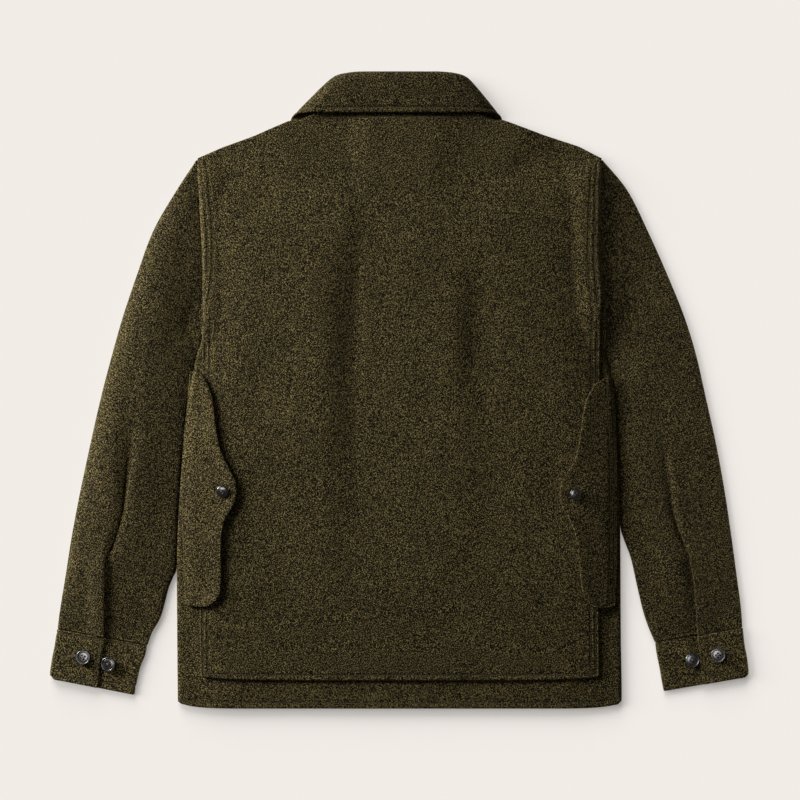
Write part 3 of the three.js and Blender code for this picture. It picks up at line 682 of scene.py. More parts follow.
flapTables = {
    "left": np.array([
        (-249.6, 22.0, -255.0, 20.4), (-242.8, 20.1, -255.4, 15.0), (-235.7, 12.4, -256.2, 7.0),
        (-230.1, 1.2, -257.0, -5.0), (-225.9, -12.9, -258.0, -18.0), (-223.0, -32.7, -259.6, -35.0),
        (-220.2, -53.7, -261.8, -55.0), (-216.1, -73.4, -263.0, -74.0), (-209.0, -88.9, -264.0, -89.0),
        (-204.1, -98.8, -264.6, -99.0), (-198.1, -111.0, -264.6, -111.0), (-196.2, -123.2, -264.6, -123.0),
        (-197.6, -134.2, -264.4, -134.0), (-205.0, -148.8, -264.1, -148.0), (-211.1, -161.0, -264.0, -161.0),
        (-214.7, -180.6, -263.3, -180.0), (-215.2, -208.6, -262.3, -208.0), (-215.3, -239.1, -261.3, -236.0),
        (-217.2, -250.1, -261.0, -246.0), (-224.5, -258.6, -260.8, -253.0), (-234.2, -263.5, -260.6, -258.5),
        (-247.0, -264.0, -260.5, -262.2),
    ]),
    "right": np.array([
        (251.3, 13.6, 259.8, 12.4), (240.2, 7.3, 260.8, 4.0), (232.7, -2.0, 261.8, -4.0),
        (226.2, -15.9, 262.8, -17.0), (222.4, -34.6, 263.6, -35.0), (220.6, -48.7, 264.2, -49.0),
        (216.8, -72.0, 265.0, -72.0), (212.2, -87.8, 265.4, -88.0), (204.7, -100.0, 265.4, -100.0),
        (199.1, -108.3, 265.4, -108.0), (196.4, -113.9, 265.4, -114.0), (194.8, -129.2, 265.4, -129.0),
        (197.6, -143.2, 265.4, -143.0), (205.9, -157.1, 265.4, -157.0), (212.9, -174.5, 265.4, -174.0),
        (216.4, -192.3, 265.4, -192.0), (218.7, -215.6, 265.2, -215.0), (222.2, -244.7, 264.0, -240.0),
        (225.7, -255.0, 263.6, -249.0), (233.0, -262.3, 263.3, -255.0), (239.1, -265.4, 263.1, -259.0),
        (249.0, -266.4, 262.9, -263.0),
    ]),
}
flapFacts = {
    "proud": (2.3, 1.4),  # how the free edge stands up on the left and right
    "proudWidth": 20,
    "stitchInside": (3.0, 8.5),
    "stitchDeep": 0.8,
}


def flapLift(x, y, share, reach):
    right = x > 0
    edge, under = (np.where(right, sideAt(table, "right", y), -sideAt(table, "left", y))
                   for table in (bodyEdge, panelEdge))
    edge, under = edge - 0.5, under + 9
    climb = smooth(-edge, -np.minimum(under, edge - 4), -np.abs(x))
    near = 1 - smooth(0, flapFacts["proudWidth"], (1 - share) * reach)
    proud = np.where(right, flapFacts["proud"][1], flapFacts["proud"][0]) * near * smooth(12, 40, reach)
    return backLift(x, y) + layer + layer * climb + proud


def flapSurface(side, t, share):  # t runs from the top to the bottom of the flap
    table = flapTables[side]
    knots = np.linspace(0, 1, len(table))
    row = ease(knots, table, t)
    x = lerp(row[..., 2], row[..., 0], share)
    y = lerp(row[..., 3], row[..., 1], share)
    reach = np.hypot(row[..., 0] - row[..., 2], row[..., 1] - row[..., 3])
    return x, y, flapLift(x, y, share, reach), reach


def flapLine(side, inside):  # a line on a flap, inside its sewn edge
    t = np.linspace(0.06, 0.97, 120)
    reach = flapSurface(side, t, np.zeros_like(t))[3]
    x, y, z, _ = flapSurface(side, t, np.clip(inside / reach, 0, 1))
    return np.stack([x, y, z + cloth], -1)


def layFlaps():
    for side in ("left", "right"):
        t = np.linspace(0, 1, 190)
        share = spread(58, 11, 1.2, 2.0)
        s, tt = np.meshgrid(share, t)
        x, y, z, reach = flapSurface(side, tt, s)
        across = s * reach
        sink = 0
        for inside in flapFacts["stitchInside"]:
            sink = np.maximum(sink, flapFacts["stitchDeep"] * np.exp(-((across - inside) / 1.5) ** 2))
        sink = sink * smooth(6, 14, reach)
        mid = np.stack([x, y, z + cloth / 2], -1)
        restsOn = ["backCloth", "backPanelCloth"]
        layFabric(f"flap{side.title()}Cloth", f"flap_{side}", mid, wool, "flap", restsOn, sink)


layFlaps()
print("flaps laid")


# Sleeves: sections from armhole to cuff, with the air inside

sleeveTables = {
    "left": np.array([
        (-245.9, 280.4, -240.2, 65.5, 0.0), (-270.5, 243.0, -246.2, 44.0, 1.0), (-300.1, 191.5, -251.2, 22.0, 2.2),
        (-318.8, 141.0, -255.8, -10.0, 2.8), (-337.5, 85.5, -259.8, -40.0, 3.0), (-349.9, 42.0, -262.9, -68.0, 3.0),
        (-363.8, -11.0, -265.8, -97.0, 3.0), (-377.8, -72.6, -268.4, -135.0, 3.0),
        (-390.4, -131.8, -270.6, -172.0, 2.8), (-399.7, -181.5, -272.1, -215.7, 2.4),
        (-407.5, -231.3, -281.3, -243.8, 1.6), (-412.6, -262.0, -290.7, -277.9, 0.9),
        (-415.2, -280.0, -301.5, -297.4, 0.4), (-416.6, -291.9, -307.0, -312.2, 0.0),
    ]),
    "right": np.array([
        (247.3, 280.4, 255.4, 61.8, 0.0), (278.0, 243.0, 252.0, 44.0, 1.0), (303.9, 191.5, 257.0, 22.0, 2.2),
        (326.5, 141.0, 263.2, -8.0, 2.8), (349.0, 85.5, 264.8, -36.0, 3.0), (362.3, 42.0, 266.0, -62.0, 3.0),
        (374.5, -11.0, 267.4, -88.0, 3.0), (388.1, -72.6, 269.0, -125.0, 3.0),
        (398.6, -131.8, 271.9, -172.0, 2.8), (405.9, -181.5, 282.9, -206.4, 2.4),
        (412.6, -231.3, 290.6, -240.6, 1.6), (416.8, -262.3, 298.6, -273.7, 0.9),
        (418.3, -279.0, 306.0, -294.5, 0.4), (418.9, -290.3, 312.3, -308.3, 0.0),
    ]),
}
sleeveFacts = {
    "overlap": 5.0,  # how far the vent's upper edge laps the lower one
    "bridge": (-1.4, 0.7),  # and far above the vent, and just above it
    "ridge": 1.3,  # height of the fold that runs into the vent
    "groove": 0.9,  # depth of the cloth beside it
    "wave": 0.35,  # unevenness of the cloth
    "meet": 0.55,  # how far the lower end reaches over to the cuff
    "rows": 215,
    "left": {
        "crown": 10.0,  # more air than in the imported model
        "inner": (0.64, 1.0, 0.0, 1.12),  # share of the width it takes to rise, roundness, steepness, power
        "outer": (0.24, 1.0, 0.7, 2.0),
        "vent": [(-322, 60), (-326, 0), (-333.3, -55), (-331.8, -100), (-337, -151.3), (-347, -184.2),
                 (-357.5, -201.3), (-358.4, -250), (-359.5, -298), (-360, -330)],
        "ventTop": -196,
        "lapRise": 4.6,  # how high the free edge of the vent stands over the layer below it
        "hollow": 1.2,
        "creases": [
            [(-318, 20, 0.0, 16, 14), (-326, -40, 2.8, 14, 11), (-330, -90, 5.4, 11, 7), (-333, -120, 5.6, 9, 5),
             (-337, -148, 4.6, 7, 4.5), (-341.5, -166, 4.0, 6, 4), (-350, -194, 3.8, 6, 4)],
            [(-256, 228, 0.0, 12, 14), (-264, 170, 1.8, 13, 14), (-270, 120, 1.0, 14, 14), (-276, 60, 0.0, 14, 14)],
            [(-238, 92, 4.0, 16, 12), (-252, 82, 5.5, 17, 14), (-270, 60, 0.6, 16, 16)],
            [(-345, 70, 0.0, 20, 20), (-328, 20, 1.2, 20, 20), (-310, -20, 0.0, 20, 20)],
            [(-300, -20, 0.0, 20, 24), (-292, -110, 1.6, 22, 24), (-290, -200, 0.6, 22, 24)],
            [(-372, -90, 0.0, 14, 14), (-378, -150, 0.8, 14, 14), (-384, -215, 0.0, 14, 14)],
        ],
    },
    "right": {
        "crown": 1.6,
        "inner": (0.34, 0.0, 0.3, 2.0),
        "outer": (0.66, 0.5, 0.6, 2.0),
        "vent": [(318, 60), (320, 0), (322, -60), (325, -90), (330.6, -117), (334.3, -141.5), (340.4, -169.6),
                 (350.1, -190.3), (354, -211), (358.5, -233), (361.5, -270), (363.4, -298), (364, -330)],
        "ventTop": -190,
        "lapRise": 3.1,
        "hollow": 2.4,
        "creases": [
            [(318, 20, 0.0, 14, 12), (321, -50, 1.8, 14, 9), (324.5, -90, 3.6, 13, 6.5), (330.6, -117, 4.0, 11, 5),
             (334.3, -141.5, 3.6, 8, 4.5), (340.4, -169.6, 3.4, 6, 4), (350, -190, 3.4, 6, 4)],
            [(254, 262, 3.5, 16, 12), (258, 205, 7.5, 20, 17), (264, 150, 7.0, 22, 18), (276, 82, 4.0, 20, 18),
             (290, 20, 0.5, 18, 18)],
            [(345, 70, 0.0, 20, 20), (332, 20, 1.2, 20, 20), (318, -20, 0.0, 20, 20)],
            [(300, -80, 0.0, 20, 20), (304, -160, 1.2, 20, 20), (312, -230, 0.0, 20, 20)],
            [(372, -100, 0.0, 18, 18), (380, -170, 0.8, 18, 18), (388, -235, 0.0, 18, 18)],
        ],
    },
}


def sleevePlan(side, rowT):  # inner and outer end of each section, and the loft there
    table = sleeveTables[side]
    row = ease(np.arange(len(table)), table, rowT)
    sign = -1 if side == "left" else 1
    beside = np.abs(sideAt(bodyEdge, side, row[:, 3])) + sideGap
    apart = np.maximum(np.abs(row[:, 2]) - beside, 0)
    innerX = sign * (beside + apart * smooth(0.6, 4, apart))
    return np.stack([innerX, row[:, 3]], -1), row[:, :2], row[:, 4]


def crossing(start, end, line):  # share along each section at which a line crosses it
    line = evenly(np.asarray(line, float), 400)
    run = end - start
    away = line[None] - start[:, None]
    length = np.einsum("ij,ij->i", run, run)
    share = np.einsum("ikj,ij->ik", away, run) / length[:, None]
    off = np.abs(away[..., 0] * run[:, None, 1] - away[..., 1] * run[:, None, 0])
    best = off.argmin(axis=1)
    return share[np.arange(len(start)), best]


def laySleeves():
    for side in ("left", "right"):
        facts = sleeveFacts[side]
        sign = -1 if side == "left" else 1
        table = sleeveTables[side]
        rowT = np.linspace(0, len(table) - 1, sleeveFacts["rows"])
        inner, outer, loft = sleevePlan(side, rowT)
        width = np.linalg.norm(outer - inner, axis=1)
        split = crossing(inner, outer, facts["vent"])
        split = np.where(rowT < 5, np.interp(5, rowT, split), split)
        ventY = lerp(inner[:, 1], outer[:, 1], split)
        split = np.convolve(np.pad(split, 4, mode="edge"), np.ones(9) / 9, "valid")
        slit = smooth(facts["ventTop"], facts["ventTop"] - 26, ventY)  # 0 above the vent and 1 down it
        fade = smooth(facts["ventTop"] + 150, facts["ventTop"] - 12, ventY)  # the crease that runs into it
        fold = layer / 2 + cloth / 2
        turn = np.radians(np.array([14, 40, 65, 90, 115, 140, 166]))
        low = cloth / 2
        bridge = lerp(*sleeveFacts["bridge"], smooth(facts["ventTop"] + 50, facts["ventTop"] + 4, ventY))
        lap = (sleeveFacts["overlap"] * slit + bridge) / width
        edgeOut, edgeIn = split, np.minimum(split + lap, 0.98)
        sOut = np.concatenate([[0], spread(60, 9, 1.4, 3.0, (True, False))[1:]])
        sIn = sOut[::-1]
        outPart = edgeOut[:, None] + (1 - fold / width[:, None] - edgeOut[:, None]) * sOut[None]
        inPart = fold / width[:, None] + (edgeIn[:, None] - fold / width[:, None]) * (1 - sIn[None])
        lower = np.linspace(0, 1, 34)

        def plan(across):  # place at a share across, bowed like the armhole near the top
            x = lerp(inner[:, 0][:, None], outer[:, 0][:, None], across)
            y = lerp(inner[:, 1][:, None], outer[:, 1][:, None], across)
            top = table[0]
            armX, armY = lerp(top[2], top[0], across), lerp(top[3], top[1], across)
            bow = sideAt(bodyEdge, side, armY) + sign * seamGap - armX
            meet = sleeveFacts["meet"] * smooth(len(table) - 2, len(table) - 1, rowT)[:, None]
            return x + bow * np.clip(1 - rowT / 3, 0, 1)[:, None], y - meet

        def upper(across, part):
            x, y = plan(across)
            s = np.clip(np.minimum(across, 1 - across) * width[:, None] / 40, 0, 1)
            rounded = 1
            for end, away in (("inner", across), ("outer", 1 - across)):
                reach, roundness, steep, power = facts[end]
                t = np.clip(away / reach, 0, 1)
                full = lerp(1 - (1 - t) ** power, np.sqrt(1 - (1 - t) ** 2), steep)
                rounded = rounded * lerp(smooth(0, 1, t), full, roundness)
            air = (loft * (1 + facts["crown"] / 3))[:, None] * rounded
            air = air - troughs(facts["creases"], x, y) * np.minimum(1, loft)[:, None] * np.minimum(1, 2 * s)
            uneven = sleeveFacts["wave"] * (0.5 + 0.5 * waves(x, y, 60, 21)) * s
            air = np.maximum(0, air) + uneven * np.minimum(1, loft)[:, None]
            z = low + layer + air
            if part == "out":
                beyond = np.abs(across - edgeOut[:, None]) * width[:, None]
                rise = facts["lapRise"] * slit[:, None] * (1 - smooth(4, 26, beyond))
                ridge = sleeveFacts["ridge"] * (fade * (1 - slit))[:, None] * np.exp(-((beyond - 3) / 7) ** 2)
                z = z + rise + ridge
            else:
                beyond = np.abs(edgeIn[:, None] - across) * width[:, None]
                groove = sleeveFacts["groove"] * (fade * (1 - slit))[:, None] * np.exp(-((beyond - 3) / 8) ** 2)
                z = z - groove * np.minimum(1, air)
                hollow = np.minimum(air, facts["hollow"]) * np.exp(-(((beyond - 4) / 9) ** 2))
                z = z - slit[:, None] * hollow
            return np.stack([x, y, z], -1)

        outUpper, inUpper = upper(outPart, "out"), upper(inPart, "in")
        x, y = plan(lerp(1 - fold / width, fold / width, lower[:, None]).T)
        under = np.stack([x, y, np.full_like(x, low)], -1)

        def roundFold(atOuter):
            swing = np.sin(turn) * layer / 2
            share = fold / width[:, None] - swing[None] / width[:, None]
            x, y = plan(1 - share if atOuter else share)
            z = low + layer / 2 * (1 + np.cos(turn)) if atOuter else low + layer / 2 * (1 - np.cos(turn))
            return np.stack([x, y, np.broadcast_to(z, x.shape)], -1)

        mid = np.concatenate([outUpper, roundFold(True), under[:, 1:-1], roundFold(False), inUpper], axis=1)
        rows, columns = mid.shape[:2]
        quads = gridQuads(rows, columns)
        closed = np.nonzero(slit > 0.0)[0][0]
        i = np.arange(closed)
        first, after = i * columns, (i + 1) * columns
        seam = np.stack([first + columns - 1, first, after, after + columns - 1], -1)
        name = f"sleeve{side.title()}Cloth"
        quads = np.concatenate([quads, seam])
        layFabric(name, f"sleeve_{side}", mid, sleeveShadedWool[side], "sleeve", ["floor"], quads=quads)


laySleeves()
print("sleeves laid")


# Cuffs, top seam to lower edge; lap is where the overlap ends, measured from the outer fold

cuffTables = {
    "left": np.array([
        (-417.0, -292.6, -307.2, -312.9, 59.8), (-419.9, -312.2, -309.6, -324.0, 58.8),
        (-423.6, -331.0, -315.8, -340.0, 60.0), (-425.7, -347.6, -320.2, -359.0, 59.5),
        (-419.6, -354.0, -323.0, -373.2, 52.2),
    ]),
    "right": np.array([
        (419.2, -291.0, 312.6, -309.0, 57.0), (421.4, -311.5, 314.0, -320.6, 56.2),
        (424.8, -330.0, 317.6, -338.4, 58.0), (426.3, -345.8, 320.6, -356.0, 57.4),
        (421.6, -351.4, 323.0, -368.6, 50.6),
    ]),
}
cuffFacts = {"height": 64, "tail": 24, "stitchDeep": 0.8, "topDeep": 0.7}


def cuffRow(side, t):
    table = cuffTables[side]
    knots = np.array([0, 0.27, 0.55, 0.82, 1.0])
    row = ease(knots, table, t)
    start, end = row[..., :2], row[..., 2:4]
    return start, end, np.linalg.norm(end - start, axis=-1), row[..., 4]


def layCuffs():
    overlap = spread(50, 9, 1.3, 2.4, (True, False))
    high, low = cuffFacts["height"], cloth / 2
    deep, tight = layer + cloth / 2, layer / 2 + cloth / 2
    angles = np.radians(np.linspace(0, 180, 10)[1:-1])

    def ditch(away, depth=cuffFacts["stitchDeep"]):
        return depth * np.exp(-((away / 1.4) ** 2))

    for side in ("left", "right"):
        t = spread(high, 10, 1.2, 1.9)
        start, end, width, lap = cuffRow(side, t)
        rows = []
        for a, b, w, reach in zip(start, end, width, lap):
            line = [(lerp(reach, deep, s), low + 2 * layer) for s in overlap]
            line += [(deep - math.sin(k) * layer, low + layer * (1 + math.cos(k))) for k in angles]
            line += [(lerp(deep, w - tight, s), low) for s in np.linspace(0, 1, 32)]
            line += [(w - tight + math.sin(k) * layer / 2, low + layer / 2 * (1 - math.cos(k))) for k in angles]
            line += [(lerp(w - tight, reach, s), low + layer) for s in np.linspace(0, 1, 22)]
            line += [(reach - cuffFacts["tail"] * s, low + layer) for s in np.linspace(0, 1, 11)[1:]]
            line = np.array(line)
            place = a + (b - a) * (line[:, 0] / w)[:, None]
            rows.append(np.column_stack([place, line[:, 1]]))
        mid = np.array(rows)
        sink = np.zeros(mid.shape[:2])
        gapIn = np.linalg.norm(mid[:, :len(overlap), :2] - mid[:, :1, :2], axis=2)
        sink[:, :len(overlap)] = ditch(gapIn - 4.0)
        sink = np.maximum(sink, ditch((1 - t)[:, None] * high - 8.0))
        sink = np.maximum(sink, ditch(t[:, None] * high - 4.0, cuffFacts["topDeep"]))
        layFabric(f"cuff{side.title()}Cloth", f"cuff_{side}", mid, wool, "cuff", ["floor"], sink)


layCuffs()
print("cuffs laid")


# Collar: the left half from centre back to centre front, with the neck seam, the roll and the free edge

collarStations = np.array([
    (0, 0, 383.1, 12.4, 0, 338.4, 8.8, 0, 335.6, 16.6),
    (0, -24, 383.1, 12.4, -32, 338.3, 8.8, -36, 335.6, 16.6),
    (0, -46, 383.1, 12.2, -61, 338.1, 8.0, -71, 335.6, 16.6),
    (0, -60, 382.4, 11.4, -79, 337.8, 7.4, -106, 335.9, 16.2),
    (30, -71, 379.8, 9.6, -89, 338.4, 6.9, -120, 335.2, 12.0),
    (75, -79, 375.6, 7.4, -93, 338.0, 5.8, -127.6, 332.8, 6.4),
    (130, -86.5, 366.5, 5.2, -90.4, 337.4, 4.8, -131.8, 327.8, 1.5),
    (180, -82, 356.0, 3.2, -84.6, 328.2, 4.2, -129.6, 318.6, 1.3),
    (180, -62, 338.0, 2.75, -64.0, 302.6, 4.2, -117.4, 294.4, 1.3),
    (180, -32, 313.0, 2.75, -31.8, 288.0, 4.2, -98, 262.0, 1.3),
    (180, -5, 289.0, 2.75, -5, 283.4, 4.2, -72, 228.0, 1.3),
])
collarFacts = {
    "rightRoll": 1.035,
    "rightEdge": 0.953,
    "roll": 4.2,  # half the height of the roll at the back
    "crown": 1.6,
    "rows": 170,
    "columns": 72,
    "stitch": 6.2,
    "stitchDeep": 1.55,
}


def collarSection(row, sign):
    right = sign < 0
    rollFlip = np.array([sign * (collarFacts["rightRoll"] if right else 1), 1, 1])
    edgeFlip = np.array([sign * (collarFacts["rightEdge"] if right else 1), 1, 1])
    roll, seam, edge = row[1:4] * rollFlip, row[4:7] * edgeFlip, row[7:10] * edgeFlip
    up = roll - (seam + edge) / 2
    up[2] = 0
    up = unit(up)
    side = np.array([-up[1], up[0], 0]) * sign
    swing = math.radians(row[0])
    out = np.array([0, 0, math.cos(swing)]) + side * math.sin(swing)
    atBack = max(0, math.cos(swing)) ** 0.5 if swing < math.pi / 2 else 0
    half = lerp(layer / 2, collarFacts["roll"], atBack)
    crown = collarFacts["crown"] * atBack
    fold = layer / 2
    near, far = roll - out * half, roll + out * half
    line = [seam, lerp(seam, near, 0.35), lerp(seam, near, 0.8), lerp(near, roll, 0.3) + up * fold * 0.7,
            roll + up * fold, lerp(far, roll, 0.3) + up * fold * 0.7, lerp(far, edge, 0.08) + out * crown * 0.5,
            lerp(far, edge, 0.3) + out * crown, lerp(far, edge, 0.62) + out * crown * 0.7, edge]
    return roundCurve(line, collarFacts["columns"])


def layCollar():
    halfCount = collarFacts["rows"] // 2
    steps = np.linalg.norm(np.diff(collarStations[:, 7:10], axis=0), axis=1) ** 0.7
    knots = np.concatenate([[0], np.cumsum(steps)])
    marks = np.linspace(0, knots[-1], halfCount)
    rows = ease(knots, collarStations, marks)
    left = [collarSection(row, 1) for row in rows]
    right = [collarSection(row, -1) for row in rows[1:]]
    mid = np.array([*left[::-1], *right])
    gap = np.linalg.norm(mid - mid[:, -1:], axis=2)
    onFall = np.linspace(0, 1, collarFacts["columns"])[None] > 0.55
    sink = collarFacts["stitchDeep"] * np.exp(-((gap - collarFacts["stitch"]) / 1.5) ** 2) * onFall
    layFabric("collarCloth", "collar", mid, collarShadedWool, "collar", ["frontLeftCloth", "frontRightCloth"], sink)
    return mid


collarMid = layCollar()
print("collar laid")


# Stitches, laid along the seams by a node tree

stitchFacts = {
    "pitch": 3.3,
    "length": 2.5,
    "thick": 0.95,
    "wander": 0.16,
    "seat": 0.28,  # middle of a stitch above the bottom of its ditch
}


class StitchTree:
    def __init__(self):
        self.tree = bpy.data.node_groups.new("stitchRow", "GeometryNodeTree")
        face = self.tree.interface
        face.new_socket("Geometry", in_out="INPUT", socket_type="NodeSocketGeometry")
        self.sizes = {}
        for label, kind in (("Pitch", "Float"), ("Length", "Float"), ("Thick", "Float"), ("Wander", "Float"),
                            ("Seed", "Int"), ("Thread", "Material")):
            socket = face.new_socket(label, in_out="INPUT", socket_type="NodeSocket" + kind)
            self.sizes[label] = socket.identifier
        face.new_socket("Geometry", in_out="OUTPUT", socket_type="NodeSocketGeometry")
        start, end = self.add("NodeGroupInput"), self.tree.nodes.new("NodeGroupOutput")
        line = self.add("GeometryNodeMeshToCurve", {}, {"Mesh": start["Geometry"]})
        marks = self.add("GeometryNodeResampleCurve", {"mode": "LENGTH"},
                         {"Curve": line[0], "Length": start["Pitch"]})
        ball = self.add("GeometryNodeMeshUVSphere", {}, {"Segments": 7, "Rings": 5, "Radius": 0.5})
        size = self.add("ShaderNodeCombineXYZ", {}, {0: start["Length"], 1: start["Thick"], 2: start["Thick"]})
        stitch = self.add("GeometryNodeTransform", {}, {"Geometry": ball[0], "Scale": size[0]})
        along = self.add("FunctionNodeAlignRotationToVector", {"axis": "X"},
                         {"Vector": self.add("GeometryNodeInputTangent")[0]})
        less = self.add("ShaderNodeMath", {"operation": "MULTIPLY"}, {0: start["Wander"], 1: -1.0})
        sway = self.add("FunctionNodeRandomValue", {"data_type": "FLOAT"},
                        {"Min": less[0], "Max": start["Wander"], "Seed": start["Seed"]}, "FLOAT")
        angle = self.add("ShaderNodeCombineXYZ", {}, {2: sway[1]})
        twist = self.add("FunctionNodeEulerToRotation", {}, {0: angle[0]})
        turned = self.add("FunctionNodeRotateRotation", {"rotation_space": "LOCAL"}, {0: along[0], 1: twist[0]})
        placed = self.add("GeometryNodeInstanceOnPoints", {},
                          {"Points": marks[0], "Instance": stitch[0], "Rotation": turned[0]})
        whole = self.add("GeometryNodeRealizeInstances", {}, {0: placed[0]})
        finish = self.add("GeometryNodeSetMaterial", {}, {"Geometry": whole[0], "Material": start["Thread"]})
        self.tree.links.new(finish[0], end.inputs[0])

    def add(self, kind, settings=None, inputs=None, values=None):
        made = self.tree.nodes.new(kind)
        for key, value in (settings or {}).items():
            setattr(made, key, value)
        sockets = made.inputs
        if values:  # a random value has its sockets once for each kind of number
            sockets = {socket.name: socket for socket in made.inputs if socket.enabled}
        for key, value in (inputs or {}).items():
            if isinstance(value, bpy.types.NodeSocket):
                self.tree.links.new(value, sockets[key])
            else:
                sockets[key].default_value = value
        return made.outputs


stitchTree = StitchTree()


def applied(made):  # an object's mesh with its modifiers applied
    return bpy.data.meshes.new_from_object(made.evaluated_get(bpy.context.evaluated_depsgraph_get()))


def sewRows(name, lines, thread, seed, **sizes):
    points, edges = [], []
    for line in lines:
        start = len(points)
        points += toFrame(np.asarray(line, float)).tolist()
        edges += [(k, k + 1) for k in range(start, len(points) - 1)]
    mesh = bpy.data.meshes.new(name + "Path")
    mesh.from_pydata(points, edges, [])
    path = addObject(name + "Path", mesh)
    sewing = path.modifiers.new("stitches", "NODES")
    sewing.node_group = stitchTree.tree
    facts = {**stitchFacts, **sizes}
    for label in ("Pitch", "Length", "Thick"):
        sewing[stitchTree.sizes[label]] = facts[label.lower()] / 1000
    sewing[stitchTree.sizes["Wander"]] = facts["wander"]
    sewing[stitchTree.sizes["Seed"]] = seed
    sewing[stitchTree.sizes["Thread"]] = thread
    sewn = applied(path)
    sewn.name = name
    sewn.shade_smooth()
    piece = addObject(name, sewn)
    path.modifiers.remove(sewing)
    bpy.data.objects.remove(path)
    threadLog.append(piece)
    print(f"{name}: {len(sewn.polygons)} faces")


threadLog = []


def onCloth(line, under, deep):  # a line in plan laid in its ditch on the cloth
    x, y = np.array(line, float).T
    return np.stack([x, y, under(x, y) + cloth - deep + stitchFacts["seat"]], -1)


def collarRow(inside):
    normals = vertexNormals(collarMid.reshape(-1, 3), gridQuads(*collarMid.shape[:2]))
    normals = normals.reshape(collarMid.shape)
    normals *= np.sign(normals[collarMid.shape[0] // 2, -8, 2])
    gap = np.linalg.norm(collarMid - collarMid[:, -1:], axis=2)
    half = collarMid.shape[1] // 2
    column = half + np.abs(gap[:, half:] - inside).argmin(axis=1)
    rows = np.arange(len(collarMid))
    high = cloth / 2 - collarFacts["stitchDeep"] + stitchFacts["seat"]
    return collarMid[rows, column] + normals[rows, column] * high


def cuffRowAt(side, t, across, level):  # places on a cuff, at a distance from the outer fold and a layer
    start, end, width, lap = cuffRow(side, t)
    place = start + (end - start) * (across(width, lap) / width)[:, None]
    high = cloth + level * layer - cuffFacts["stitchDeep"] + stitchFacts["seat"]
    return np.column_stack([place, np.full(len(t), high)])


def sewAll():
    deep = panelFacts["stitchDeep"]
    sewRows("panelStitches", [onCloth(line, panelUnder, deep) for line in panelLines], olive, 3)
    sewRows("hemStitches", [onCloth(line, backLift, bodyFacts["stitchDeep"]) for line in bodyLines], olive, 4)
    flapRows = []
    for side in ("left", "right"):
        for inside in flapFacts["stitchInside"]:
            row = flapLine(side, inside)
            row[:, 2] += stitchFacts["seat"] - flapFacts["stitchDeep"]
            flapRows.append(row)
    sewRows("flapStitches", flapRows, olive, 5)
    sewRows("collarStitches", [collarRow(collarFacts["stitch"])], olive, 6)
    cuffRows = []
    for side in ("left", "right"):
        down, rowT = np.linspace(0.06, 0.95, 24), np.ones(30)
        cuffRows.append(cuffRowAt(side, down, lambda width, lap: lap - 4.0, 2))
        for t in (4 / 64, 1 - 8 / 64):
            share = np.linspace(0, 1, 30)
            cuffRows.append(cuffRowAt(side, t * rowT, lambda width, lap: lerp(4.5, lap - 4.0, share), 2))
            cuffRows.append(cuffRowAt(side, t * rowT, lambda width, lap: lerp(lap + 2.5, width - 4.5, share), 1))
    sewRows("cuffStitches", cuffRows, olive, 7)
    top = cloth + 2 * layer + 0.3
    holes = []
    for x, y in ((-397.2, -325.0), (401.6, -321.0)):
        along = x + np.linspace(-5.6, 5.6, 24)
        holes += [np.column_stack([along, np.full(24, y + off), np.full(24, top)]) for off in (-0.7, 0.7)]
    for off in (-1.1, 0, 1.1):
        tack = np.linspace(-2.4, 2.4, 8)
        holes.append(np.column_stack([np.full(8, 380.8 + off), -355.4 + tack, np.full(8, top)]))
    sewRows("buttonholeStitches", holes, russet, 8, pitch=0.85, length=1.25, thick=0.8, wander=0.5)


sewAll()
print("seams stitched")


# Buttons, with raised rims and four holes, and the thread that holds them

buttonFacts = {
    "segments": 64,
    "holeReach": 0.27,
    "hole": 0.15,
    "flat": [(0.78, 0.0), (0.93, 0.10), (1.0, 0.36), (0.99, 0.66), (0.95, 0.88), (0.90, 0.98), (0.86, 1.0),
             (0.82, 0.97), (0.785, 0.86), (0.76, 0.66), (0.735, 0.56), (0.70, 0.56), (0.665, 0.64), (0.62, 0.70),
             (0.55, 0.735), (0.45, 0.765), (0.30, 0.79), (0.15, 0.80)],
    "domed": [(0.70, 0.0), (0.90, 0.10), (1.0, 0.30), (0.99, 0.44), (0.94, 0.58), (0.85, 0.72), (0.72, 0.85),
              (0.60, 0.915), (0.45, 0.96), (0.30, 0.985), (0.15, 1.0)],
    "strand": 0.2,
    "strands": (-0.2, 0.2),
}


def toMesh(name, shape):
    mesh = bpy.data.meshes.new(name)
    shape.to_mesh(mesh)
    shape.free()
    return mesh


def latheButton(name, profile, radius, height):
    segments = buttonFacts["segments"]
    shape = bmesh.new()
    turns = [2 * math.pi * k / segments for k in range(segments)]
    rings = [[shape.verts.new((r * radius * math.cos(a), r * radius * math.sin(a), z * height)) for a in turns]
             for r, z in profile]
    for lower, upper in zip(rings[:-1], rings[1:]):
        for k in range(segments):
            after = (k + 1) % segments
            shape.faces.new((lower[k], lower[after], upper[after], upper[k]))
    shape.faces.new(rings[0][::-1])
    shape.faces.new(rings[-1])
    bmesh.ops.recalc_face_normals(shape, faces=shape.faces)
    return toMesh(name, shape)


def holePlaces(radius):
    reach = buttonFacts["holeReach"] * radius
    return [(reach * math.cos(a), reach * math.sin(a)) for a in (math.pi * (0.25 + 0.5 * k) for k in range(4))]


